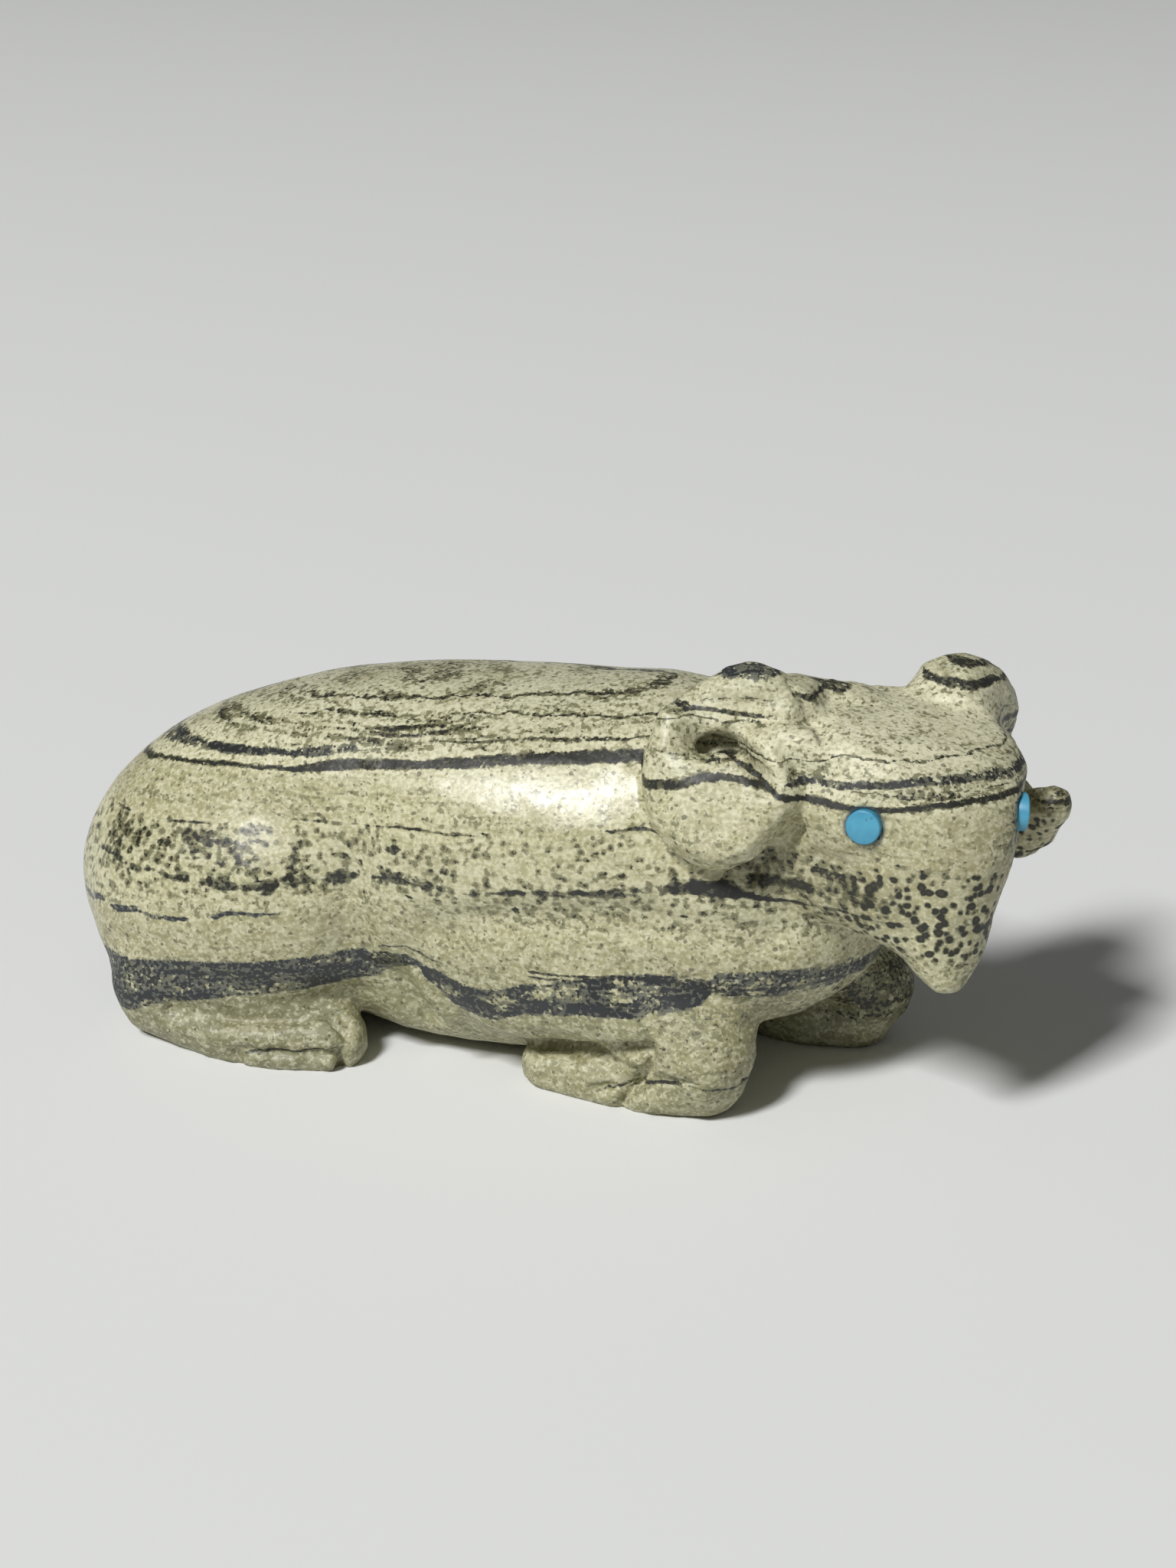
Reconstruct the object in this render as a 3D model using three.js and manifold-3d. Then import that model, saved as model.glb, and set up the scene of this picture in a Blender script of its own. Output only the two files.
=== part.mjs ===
// A lying ram carved in one piece from banded stone, with two inlaid turquoise eyes.
// Millimetres, +Z up. The body lies along +X, the feet stand on z = 0, and the head
// is turned towards -Y, the animal's right side.
import * as THREE from 'three';
import * as BufferGeometryUtils from 'three/addons/utils/BufferGeometryUtils.js';
import Module from 'manifold-3d';

const wasm = await Module();
wasm.setup();

// Driving dimensions of the head: where the middle of the face is, how far the head
// is turned from the body's crosswise axis, and how far it leans to the left.
const FACE = new THREE.Vector3(21.7, -5.3, 17.6);
const HEAD_TURN = 43;
const HEAD_LEAN = 5;

// The eyes: drilled sockets with a short rod of turquoise in each. Each looks out at its
// splay from straight ahead, and the flat side of the face passes through its place.
const EYE_DEPTH = 1.5;
const EYE_PROUD = 0.3;
const EYE_GAP = 0.3;
const EYE_RIGHT = { at: [-0.2, -4.35, -0.35], radius: 0.94, splay: 45, sideSoft: 1.6 };
const EYE_LEFT = { at: [0.8, 4.2, 0.2], radius: 1.04, splay: 52, sideSoft: 0.2 };

// Cuts and joins leave slivers shorter than this, which are closed up.
const SLIVER = 0.02;

// Rounded masses of the body: centre, half-sizes, power of the curve, yaw and pitch
// in degrees, and how softly each one runs into those before it.
const MASSES = [
  { at: [-3.5, 0.5, 11.5], half: [21.6, 8.6, 9.3], power: 2.42, yaw: 0, pitch: 4, soft: 0 },
  { at: [-18.2, 0.0, 7.6], half: [10.6, 8.8, 8.2], power: 2.1, yaw: 0, pitch: 0, soft: 3.0 },
  { at: [-17.6, -4.6, 7.2], half: [8.6, 4.9, 6.4], power: 2.3, yaw: 0, pitch: 14, soft: 1.2 },
  { at: [-17.6, 4.6, 7.2], half: [8.6, 4.9, 6.4], power: 2.3, yaw: 0, pitch: 14, soft: 1.2 },
  { at: [0.5, -3.4, 12.6], half: [13.0, 5.6, 7.0], power: 2.3, yaw: 0, pitch: 0, soft: 1.5 },
  { at: [8.0, 0.5, 9.0], half: [10.0, 8.2, 6.2], power: 2.2, yaw: -15, pitch: 4, soft: 2.0 },
  { at: [3.0, -5.6, 6.6], half: [9.5, 3.6, 3.0], power: 2.2, yaw: -4, pitch: -14, soft: 1.2 },
  { at: [9.0, 4.6, 6.4], half: [9.0, 4.0, 3.0], power: 2.2, yaw: -6, pitch: -14, soft: 1.2 },
  { at: [-4.0, 0.2, 5.9], half: [10.8, 7.2, 5.8], power: 2.6, yaw: 0, pitch: 0, soft: 1.0 },
];
const NECK = { from: [6.0, 0.0, 14.5], to: [15.5, -1.0, 15.5], radii: [6.6, 5.1], soft: 2.0 };

// Level sections of the head, in its own axes: height, half-width, and how far
// forward its front, its widest place and its back are.
const HEAD_SECTIONS = [
  [-8.9, 0.3, 2.1, 1.7, 1.2],
  [-8.6, 0.9, 2.5, 1.5, 0.7],
  [-7.7, 1.6, 2.7, 1.1, -0.8],
  [-6.6, 2.4, 2.8, 0.4, -2.8],
  [-5.0, 2.9, 2.9, -0.5, -5.0],
  [-2.7, 4.0, 2.9, -1.8, -7.0],
  [-1.0, 4.9, 2.8, -2.6, -8.0],
  [1.0, 5.6, 2.1, -3.4, -9.0],
  [2.4, 5.7, 0.9, -4.4, -9.5],
  [3.3, 5.4, -0.8, -5.4, -9.6],
  [3.9, 4.4, -3.2, -6.4, -9.4],
  [4.2, 2.2, -5.6, -7.2, -8.8],
];
const HEAD_SIDE = 0.3;
const BROW_POWER = 2.6;

// Forms blended into the skull, as tapering bars: the two sides of the lower jaw from the
// throat to the muzzle, the cheeks behind the eyes, and the low crest behind the poll.
const HEAD_BARS = [
  { from: [-9.5, -5.0, -4.2], to: [-5.4, -3.6, -4.2], radii: [3.4, 2.9], soft: 1.5 },
  { from: [-5.4, -3.6, -4.2], to: [-1.6, -1.6, -4.6], radii: [2.9, 2.4], soft: 1.5 },
  { from: [-9.5, 4.2, -4.2], to: [-5.4, 3.2, -4.2], radii: [3.4, 2.9], soft: 1.5 },
  { from: [-5.4, 3.2, -4.2], to: [-1.6, 1.6, -4.6], radii: [2.9, 2.4], soft: 1.5 },
  { from: [-8.4, -6.4, 0.8], to: [-5.6, -5.6, -0.4], radii: [2.9, 2.5], soft: 1.6 },
  { from: [-5.6, -5.6, -0.4], to: [-2.8, -4.0, -0.6], radii: [2.5, 2.0], soft: 1.6 },
  { from: [-8.8, 5.4, 0.0], to: [-6.6, 5.6, -1.0], radii: [3.2, 2.8], soft: 1.6 },
  { from: [-8.2, -4.6, 3.5], to: [-7.6, -1.2, 2.9], radii: [1.7, 1.7], soft: 0.8 },
];

// Limbs: points along the middle, each with its radius. Horns and ears are in the
// head's axes (forward, left, up), legs in the body's.
const HORN_RIGHT = [
  [-6.7, -5.9, 3.8, 1.5], [-8.0, -7.1, 4.4, 1.6], [-8.9, -9.1, 3.4, 1.35], [-9.2, -10.5, 1.9, 1.25],
  [-8.7, -11.2, 0.1, 1.4], [-7.2, -10.8, -1.5, 1.8], [-5.5, -9.6, -1.9, 2.1], [-4.4, -8.3, -0.8, 1.6],
  [-3.9, -7.5, 0.2, 1.3],
];
const HORN_LEFT = [
  [-6.0, 4.2, 3.0, 2.0], [-7.8, 5.3, 3.3, 2.6], [-8.8, 7.2, 2.6, 2.3], [-9.8, 8.2, 0.6, 1.9],
  [-8.8, 8.6, -2.0, 1.9], [-5.8, 8.8, -3.0, 1.9], [-3.2, 9.1, -1.2, 1.0],
];
const HORN_RIGHT_BOSS = [[-6.6, -10.0, -0.1, 1.7], [-5.4, -8.2, 0.3, 1.9], [-4.4, -6.7, 0.5, 1.4]];
const EAR_RIGHT = [[-5.5, -7.0, 2.4, 1.2], [-4.1, -5.4, 2.4, 1.2]];
const EAR_LEFT = [[-6.6, 5.4, 2.3, 1.4], [-5.4, 5.0, 2.0, 1.3]];
const LEGS = [
  [[-5.0, -5.4, 7.4, 2.5], [-1.4, -5.9, 5.2, 2.6], [4.4, -6.7, 5.6, 2.5], [9.9, -7.1, 3.4, 2.7]],
  [[9.8, -6.9, 2.0, 2.3], [6.2, -7.0, 1.0, 1.8], [1.3, -6.0, 1.0, 1.8]],
  [[4.0, 6.2, 6.4, 3.0], [10.5, 6.1, 5.0, 2.9], [16.2, 4.4, 3.3, 2.5]],
  [[15.3, 4.4, 1.7, 2.4], [12.0, 4.3, 1.4, 2.3], [6.4, 6.2, 1.3, 1.9]],
  [[-21.3, -6.2, 2.9, 3.4], [-15.6, -7.8, 1.3, 2.4], [-11.5, -7.4, 1.2, 2.1]],
  [[-21.3, 6.2, 2.9, 3.4], [-15.6, 7.8, 1.3, 2.4], [-11.5, 7.4, 1.2, 2.1]],
];

const rad = THREE.MathUtils.degToRad;

// The head's axes in the body's frame: columns forward, left and up.
const headAxes = new THREE.Matrix4().makeRotationZ(rad(HEAD_TURN - 90))
  .multiply(new THREE.Matrix4().makeRotationX(rad(-HEAD_LEAN)))
  .setPosition(FACE);
const bodyAxes = new THREE.Matrix4();

// Distance-like value of one rounded mass: zero on its surface, negative inside.
function massAt(point, { at, half, power, yaw, pitch }) {
  const q = point.clone().sub(new THREE.Vector3(...at));
  q.applyAxisAngle(new THREE.Vector3(0, 0, 1), -rad(yaw));
  q.applyAxisAngle(new THREE.Vector3(0, 1, 0), rad(pitch));
  const a = [q.x, q.y, q.z].map((v, i) => Math.abs(v) / half[i] + 1e-6);
  const k = (a[0] ** power + a[1] ** power + a[2] ** power) ** (1 / power);
  const slope = Math.hypot(...a.map((v, i) => v ** (power - 1) / half[i])) / k ** (power - 1);
  return (k - 1) / slope;
}

// Distance to a round bar that tapers between two points.
function barAt(point, { from, to, radii }) {
  const line = new THREE.Line3(new THREE.Vector3(...from), new THREE.Vector3(...to));
  const t = line.closestPointToPointParameter(point, true);
  return line.at(t, new THREE.Vector3()).distanceTo(point) - THREE.MathUtils.lerp(...radii, t);
}

// The nearer of two surfaces, rounded into each other over the width soft.
function blend(a, b, soft) {
  if (soft === 0) {
    return Math.min(a, b);
  }
  const h = Math.max(soft - Math.abs(a - b), 0) / soft;
  return Math.min(a, b) - h * h * soft / 4;
}

function trunkAt(point) {
  const masses = MASSES.reduce((d, mass) => blend(d, massAt(point, mass), mass.soft), Infinity);
  return blend(masses, barAt(point, NECK), NECK.soft);
}

// Which way an eye looks, in the head's axes.
function outward({ at, splay }) {
  return new THREE.Vector3(Math.cos(rad(splay)), Math.sign(at[1]) * Math.sin(rad(splay)), 0);
}

// The skull as level half-ovals, one before and one behind its widest place, cut by the
// flat sides of the face.
function skullAt(q) {
  const rows = HEAD_SECTIONS;
  const z = THREE.MathUtils.clamp(q.z, rows[0][0], rows.at(-1)[0]);
  const i = Math.max(1, rows.findIndex((row) => row[0] >= z));
  const t = (z - rows[i - 1][0]) / (rows[i][0] - rows[i - 1][0]);
  const [, width, front, middle, back] = rows[i].map((v, j) => THREE.MathUtils.lerp(rows[i - 1][j], v, t));
  const [half, power] = q.x > middle ? [front - middle, BROW_POWER] : [middle - back, 2];
  const along = Math.abs(q.x - middle) / half;
  const across = Math.abs(q.y - HEAD_SIDE) / width;
  let d = ((along ** power + across ** power) ** (1 / power) - 1) * Math.min(half, width);
  for (const eye of [EYE_RIGHT, EYE_LEFT]) {
    const beyond = q.clone().sub(new THREE.Vector3(...eye.at)).dot(outward(eye));
    d = -blend(-d, -beyond, eye.sideSoft);
  }
  return Math.max(d, q.z - rows.at(-1)[0], rows[0][0] - q.z);
}

function headAt(q) {
  return HEAD_BARS.reduce((d, bar) => blend(d, barAt(q, bar), bar.soft), skullAt(q));
}

// A ball whose points are slid out from its centre onto the outermost surface of a form.
function wrap(form, centre, reach, detail) {
  const geometry = new THREE.IcosahedronGeometry(1, detail);
  const place = geometry.attributes.position;
  const middle = new THREE.Vector3(...centre);
  const steps = 60;
  for (let i = 0; i < place.count; i += 1) {
    const ray = new THREE.Vector3().fromBufferAttribute(place, i).normalize();
    const at = (s) => middle.clone().addScaledVector(ray, s);
    let outer = reach;
    while (outer > 0 && form(at(outer)) > 0) {
      outer -= reach / steps;
    }
    let inner = outer;
    outer = inner + reach / steps;
    for (let n = 0; n < 20; n += 1) {
      const half = (inner + outer) / 2;
      if (form(at(half)) > 0) {
        outer = half;
      } else {
        inner = half;
      }
    }
    place.setXYZ(i, ...at(inner));
  }
  return geometry;
}

// A ball drawn out along a smooth curve, with the radius given at each point.
function limb(points, sides, rings) {
  const curve = new THREE.CatmullRomCurve3(points.map((p) => new THREE.Vector3(p[0], p[1], p[2])));
  const start = new THREE.Vector3(...points[0].slice(0, 3));
  const end = new THREE.Vector3(...points.at(-1).slice(0, 3));
  const length = curve.getLength();
  const [firstRadius, lastRadius] = [points[0][3], points.at(-1)[3]];
  const whole = firstRadius + length + lastRadius;
  const frames = curve.computeFrenetFrames(rings);
  const geometry = new THREE.SphereGeometry(1, sides, rings);
  const place = geometry.attributes.position;
  for (let i = 0; i < place.count; i += 1) {
    const [x, y, z] = [place.getX(i), place.getY(i), place.getZ(i)];
    const row = Math.round(Math.acos(THREE.MathUtils.clamp(y, -1, 1)) / Math.PI * rings);
    const along = (1 - Math.cos(row / rings * Math.PI)) / 2 * 0.35 + row / rings * 0.65;
    const run = along * whole - firstRadius;
    const u = THREE.MathUtils.clamp(run / length, 0, 1);
    const frame = Math.round(u * rings);
    const knot = curve.getUtoTmapping(u) * (points.length - 1);
    const k = Math.min(Math.floor(knot), points.length - 2);
    const radius = THREE.MathUtils.lerp(points[k][3], points[k + 1][3], knot - k);
    const beyond = Math.max(-run, run - length, 0);
    const ring = Math.sqrt(Math.max(radius * radius - beyond * beyond, 0));
    const spread = Math.hypot(x, z) || 1;
    const centre = run < 0 ? start.clone() : run > length ? end.clone() : curve.getPointAt(u);
    centre.addScaledVector(frames.tangents[frame], run < 0 ? run : Math.max(run - length, 0));
    centre.addScaledVector(frames.normals[frame], ring * x / spread);
    centre.addScaledVector(frames.binormals[frame], ring * z / spread);
    place.setXYZ(i, ...centre);
  }
  return geometry;
}

// Closed geometry to solid and back.
function solid(geometry, matrix = bodyAxes) {
  const bare = geometry.clone().applyMatrix4(matrix);
  bare.deleteAttribute('normal');
  bare.deleteAttribute('uv');
  const merged = BufferGeometryUtils.mergeVertices(bare, 1e-4);
  const corners = merged.index.array;
  const kept = [];
  for (let i = 0; i < corners.length; i += 3) {
    const [a, b, c] = corners.slice(i, i + 3);
    if (a !== b && b !== c && c !== a) {
      kept.push(a, b, c);
    }
  }
  return new wasm.Manifold(new wasm.Mesh({
    numProp: 3,
    vertProperties: merged.attributes.position.array,
    triVerts: new Uint32Array(kept),
  }));
}

function geometryOf(body) {
  const { vertProperties, triVerts } = body.getMesh();
  const geometry = new THREE.BufferGeometry();
  geometry.setAttribute('position', new THREE.BufferAttribute(vertProperties, 3));
  geometry.setIndex(new THREE.BufferAttribute(triVerts, 1));
  geometry.computeVertexNormals();
  return geometry;
}

// A short rod standing in the side of the face, with a gap left round and below it.
function eyeRod(eye, height, gap) {
  const depth = EYE_DEPTH + gap;
  const rod = new THREE.CylinderGeometry(eye.radius + gap, eye.radius + gap, depth + height, 24);
  rod.translate(0, (height - depth) / 2, 0);
  rod.applyQuaternion(new THREE.Quaternion().setFromUnitVectors(new THREE.Vector3(0, 1, 0), outward(eye)));
  rod.translate(...eye.at);
  return solid(rod, headAxes);
}

function carveRam() {
  let ram = solid(wrap(trunkAt, [-3, 0, 10], 40, 12));
  ram = ram.add(solid(wrap(headAt, [-4, HEAD_SIDE, 0], 20, 9), headAxes));
  for (const points of [HORN_RIGHT, HORN_LEFT]) {
    ram = ram.add(solid(limb(points, 14, 22), headAxes));
  }
  for (const points of [HORN_RIGHT_BOSS, EAR_RIGHT, EAR_LEFT]) {
    ram = ram.add(solid(limb(points, 12, 8), headAxes));
  }
  for (const points of LEGS) {
    ram = ram.add(solid(limb(points, 14, 12)));
  }
  const floor = new THREE.BoxGeometry(200, 200, 20).translate(0, 0, -10);
  ram = ram.subtract(solid(floor));
  for (const eye of [EYE_RIGHT, EYE_LEFT]) {
    ram = ram.subtract(eyeRod(eye, 4, EYE_GAP));
  }
  return ram.simplify(SLIVER);
}

const stone = new THREE.MeshStandardMaterial({ color: 0xb9b28e, roughness: 0.45, metalness: 0 });
const turquoise = new THREE.MeshStandardMaterial({ color: 0x4fa9d6, roughness: 0.3, metalness: 0 });

const pieces = {
  ram: [carveRam(), stone],
  eye_right: [eyeRod(EYE_RIGHT, EYE_PROUD, 0), turquoise],
  eye_left: [eyeRod(EYE_LEFT, EYE_PROUD, 0), turquoise],
};

// The origin is under the middle of the whole carving, where it stands.
const carving = new THREE.Group();
const box = pieces.ram[0].boundingBox();
carving.position.set(-(box.min[0] + box.max[0]) / 2, -(box.min[1] + box.max[1]) / 2, 0);
for (const [name, [body, material]] of Object.entries(pieces)) {
  const mesh = new THREE.Mesh(geometryOf(body), material);
  mesh.name = name;
  carving.add(mesh);
}

export default carving;
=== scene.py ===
import itertools
import math

import bmesh
import bpy
import numpy as np
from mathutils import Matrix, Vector
from mathutils.kdtree import KDTree


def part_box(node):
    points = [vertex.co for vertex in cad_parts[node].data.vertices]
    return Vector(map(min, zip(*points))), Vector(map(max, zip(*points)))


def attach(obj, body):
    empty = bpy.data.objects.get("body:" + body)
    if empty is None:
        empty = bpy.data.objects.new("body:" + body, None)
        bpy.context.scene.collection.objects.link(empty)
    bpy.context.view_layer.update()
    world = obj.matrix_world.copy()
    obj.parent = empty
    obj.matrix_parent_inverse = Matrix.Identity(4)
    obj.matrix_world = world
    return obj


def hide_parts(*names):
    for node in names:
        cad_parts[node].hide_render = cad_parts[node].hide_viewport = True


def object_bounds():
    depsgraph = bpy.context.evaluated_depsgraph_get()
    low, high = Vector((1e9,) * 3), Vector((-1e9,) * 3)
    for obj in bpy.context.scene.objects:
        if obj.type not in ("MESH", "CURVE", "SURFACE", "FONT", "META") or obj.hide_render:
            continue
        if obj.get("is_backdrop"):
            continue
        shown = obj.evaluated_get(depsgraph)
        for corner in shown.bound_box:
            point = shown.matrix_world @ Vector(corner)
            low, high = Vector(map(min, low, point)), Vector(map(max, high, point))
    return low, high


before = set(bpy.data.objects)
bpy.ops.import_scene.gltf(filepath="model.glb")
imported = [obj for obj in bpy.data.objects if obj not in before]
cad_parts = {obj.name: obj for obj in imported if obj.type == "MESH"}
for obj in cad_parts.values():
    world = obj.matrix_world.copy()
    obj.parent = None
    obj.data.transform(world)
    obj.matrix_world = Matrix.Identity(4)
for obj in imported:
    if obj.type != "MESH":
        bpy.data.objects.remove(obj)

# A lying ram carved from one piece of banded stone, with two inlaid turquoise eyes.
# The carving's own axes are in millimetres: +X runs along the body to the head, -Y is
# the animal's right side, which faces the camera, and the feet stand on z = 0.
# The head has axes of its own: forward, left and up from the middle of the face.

cad_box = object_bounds()
MM = 0.001

# Driving dimensions, as in the CAD part.
FACE = np.array([21.7, -5.3, 17.6])
HEAD_TURN = math.radians(43)
HEAD_LEAN = math.radians(5)
FORWARD = np.array([math.sin(HEAD_TURN), -math.cos(HEAD_TURN), 0])
LEFT = np.array([
    math.cos(HEAD_TURN) * math.cos(HEAD_LEAN),
    math.sin(HEAD_TURN) * math.cos(HEAD_LEAN),
    -math.sin(HEAD_LEAN)])
UP = np.cross(FORWARD, LEFT)

EYE_DEPTH = 1.5
EYE_PROUD = 0.3
EYE_RIGHT = {"place": (-0.2, -4.35, -0.35), "radius": 0.94, "splay": 45, "side_soft": 1.6, "lean": 0.0}
EYE_LEFT = {"place": (0.8, 4.2, 0.2), "radius": 1.04, "splay": 52, "side_soft": 0.2, "lean": 0.28}
GLUE_GAP = 0.04

# The eye's rod: the shares of its radius that the foot and the domed top take up, the
# foot's bevel, where the rounded rim begins and ends as shares of what stands proud, and
# how far the whole top of a leaning rod rises.
EYE_FOOT, DOME = 0.94, 0.9
EYE_FOOT_BEVEL = 0.08
RIM_LOW, RIM_HIGH = 0.45, 0.8
LEAN_RISE = 0.4

# How finely the stone's surface is worked out, and the box it is looked for in, in mm.
CELL = 0.235
STONE_LOW, STONE_HIGH = (-30, -12, -0.6), (30, 12, 26)

# Rounded masses of the body: centre, half-sizes, power of the curve, yaw and pitch in
# degrees, and how softly each one runs into those before it.
MASSES = (
    ((-3.5, 0.5, 11.5), (21.6, 8.6, 9.3), 2.42, 0, 4, 0.0),
    ((-18.2, 0.0, 7.6), (10.6, 8.8, 8.2), 2.1, 0, 0, 3.0),
    ((-17.6, -4.6, 7.2), (8.6, 4.9, 6.4), 2.3, 0, 14, 1.2),
    ((-17.6, 4.6, 7.2), (8.6, 4.9, 6.4), 2.3, 0, 14, 1.2),
    ((0.5, -3.6, 11.4), (13.0, 5.6, 7.2), 2.3, 0, 0, 1.5),
    ((8.0, 0.5, 9.0), (10.0, 8.2, 6.2), 2.2, -15, 4, 2.0),
    ((3.0, -5.6, 6.6), (9.5, 3.6, 3.0), 2.2, -4, -14, 1.2),
    ((9.0, 4.6, 6.4), (9.0, 4.0, 3.0), 2.2, -6, -14, 1.2),
    ((-4.0, 0.2, 5.9), (10.8, 7.2, 5.8), 2.6, 0, 0, 1.0),
)
NECK = ((6.0, 0.0, 14.5, 6.6), (15.5, -1.0, 15.5, 5.1))

# Level sections of the skull: height, half-width, and how far forward its front, its
# widest place and its back are.
SKULL = (
    (-8.9, 0.3, 2.1, 1.7, 1.2),
    (-8.6, 0.9, 2.5, 1.5, 0.7),
    (-7.7, 1.6, 2.7, 1.1, -0.8),
    (-6.6, 2.4, 2.8, 0.4, -2.8),
    (-5.0, 2.9, 2.9, -0.5, -5.0),
    (-2.7, 4.0, 2.9, -1.8, -7.0),
    (-1.0, 4.9, 2.8, -2.6, -8.0),
    (1.0, 5.6, 2.1, -3.4, -9.0),
    (2.4, 5.7, 0.9, -4.4, -9.5),
    (3.3, 5.4, -0.8, -5.4, -9.6),
    (3.9, 4.4, -3.2, -6.4, -9.4),
    (4.2, 2.2, -5.6, -7.2, -8.8))

# How far to the left the skull's middle lies, the powers of the curves before and behind
# its widest place, and what brings its steep values near to real distances.
SKULL_SIDE = 0.3
BROW_POWER, NAPE_POWER = 2.6, 2.0
SKULL_EASED = 0.8

# Limbs: points along the middle, each with its radius. Those of the head are in the
# head's axes.
JAWS = (
    ((-9.5, -5.0, -4.2, 3.4), (-5.4, -3.6, -4.2, 2.9), (-1.6, -1.6, -4.6, 2.4)),
    ((-9.5, 4.2, -4.2, 3.4), (-5.4, 3.2, -4.2, 2.9), (-1.6, 1.6, -4.6, 2.4)),
)
CHEEKS = (
    ((-8.4, -6.4, 0.8, 2.9), (-5.6, -5.6, -0.4, 2.5), (-2.8, -4.0, -0.6, 2.0)),
    ((-8.8, 5.4, 0.0, 3.2), (-6.6, 5.6, -1.0, 2.8)),
)
EARS = (
    ((-5.5, -7.0, 2.4, 1.2), (-4.1, -5.4, 2.4, 1.2)),
    ((-6.6, 5.4, 2.3, 1.4), (-5.4, 5.0, 2.0, 1.3)),
)
CREST = ((-8.2, -4.6, 3.5, 1.7), (-7.6, -1.2, 2.9, 1.7))
HORN_RIGHT = (
    (-6.7, -5.9, 3.8, 1.5), (-8.0, -7.1, 4.4, 1.6), (-8.9, -9.1, 3.4, 1.35), (-9.2, -10.5, 1.9, 1.25),
    (-8.7, -11.2, 0.1, 1.4), (-7.2, -10.8, -1.5, 1.8), (-5.5, -9.6, -1.9, 2.1), (-4.4, -8.3, -0.8, 1.6),
    (-3.9, -7.5, 0.2, 1.3))
HORN_RIGHT_BOSS = ((-6.6, -10.0, -0.1, 1.7), (-5.4, -8.2, 0.3, 1.9), (-4.4, -6.7, 0.5, 1.4))
HORN_LEFT = (
    (-6.0, 4.2, 3.0, 2.0), (-7.8, 5.3, 3.3, 2.6), (-8.8, 7.2, 2.6, 2.3), (-9.8, 8.2, 0.6, 1.9),
    (-8.8, 8.6, -2.0, 1.9), (-5.8, 8.8, -3.0, 1.9), (-3.2, 9.1, -1.2, 1.0))
UPPER_LEGS = (
    ((-5.0, -5.4, 7.4, 2.5), (-1.4, -5.9, 5.2, 2.6), (4.4, -6.7, 5.6, 2.5), (9.9, -7.1, 3.4, 2.7)),
    ((4.0, 6.2, 6.4, 3.0), (10.5, 6.1, 5.0, 2.9), (16.2, 4.4, 3.3, 2.5)),
    ((-21.3, -6.2, 2.9, 3.4), (-15.6, -7.8, 1.3, 2.4), (-11.5, -7.4, 1.2, 2.1)),
    ((-21.3, 6.2, 2.9, 3.4), (-15.6, 7.8, 1.3, 2.4), (-11.5, 7.4, 1.2, 2.1)),
)
LOWER_LEGS = (
    ((9.8, -6.9, 2.0, 2.3), (6.2, -7.0, 1.0, 1.8), (1.3, -6.0, 1.0, 1.8)),
    ((15.3, 4.4, 1.7, 2.4), (12.0, 4.3, 1.4, 2.3), (6.4, 6.2, 1.3, 1.9)),
)

# The width in mm over which each form runs into the rest, or over which its edges are
# rounded.
SOFT = {
    "neck": 2.0, "upper_leg": 1.0, "lower_leg": 0.5, "jaw": 1.5, "face": 0.5, "cheek": 1.6, "ear": 0.8,
    "boss": 1.0, "horn_right": 0.4, "horn_left": 1.0, "flat": 0.15, "socket": 0.08}

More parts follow.
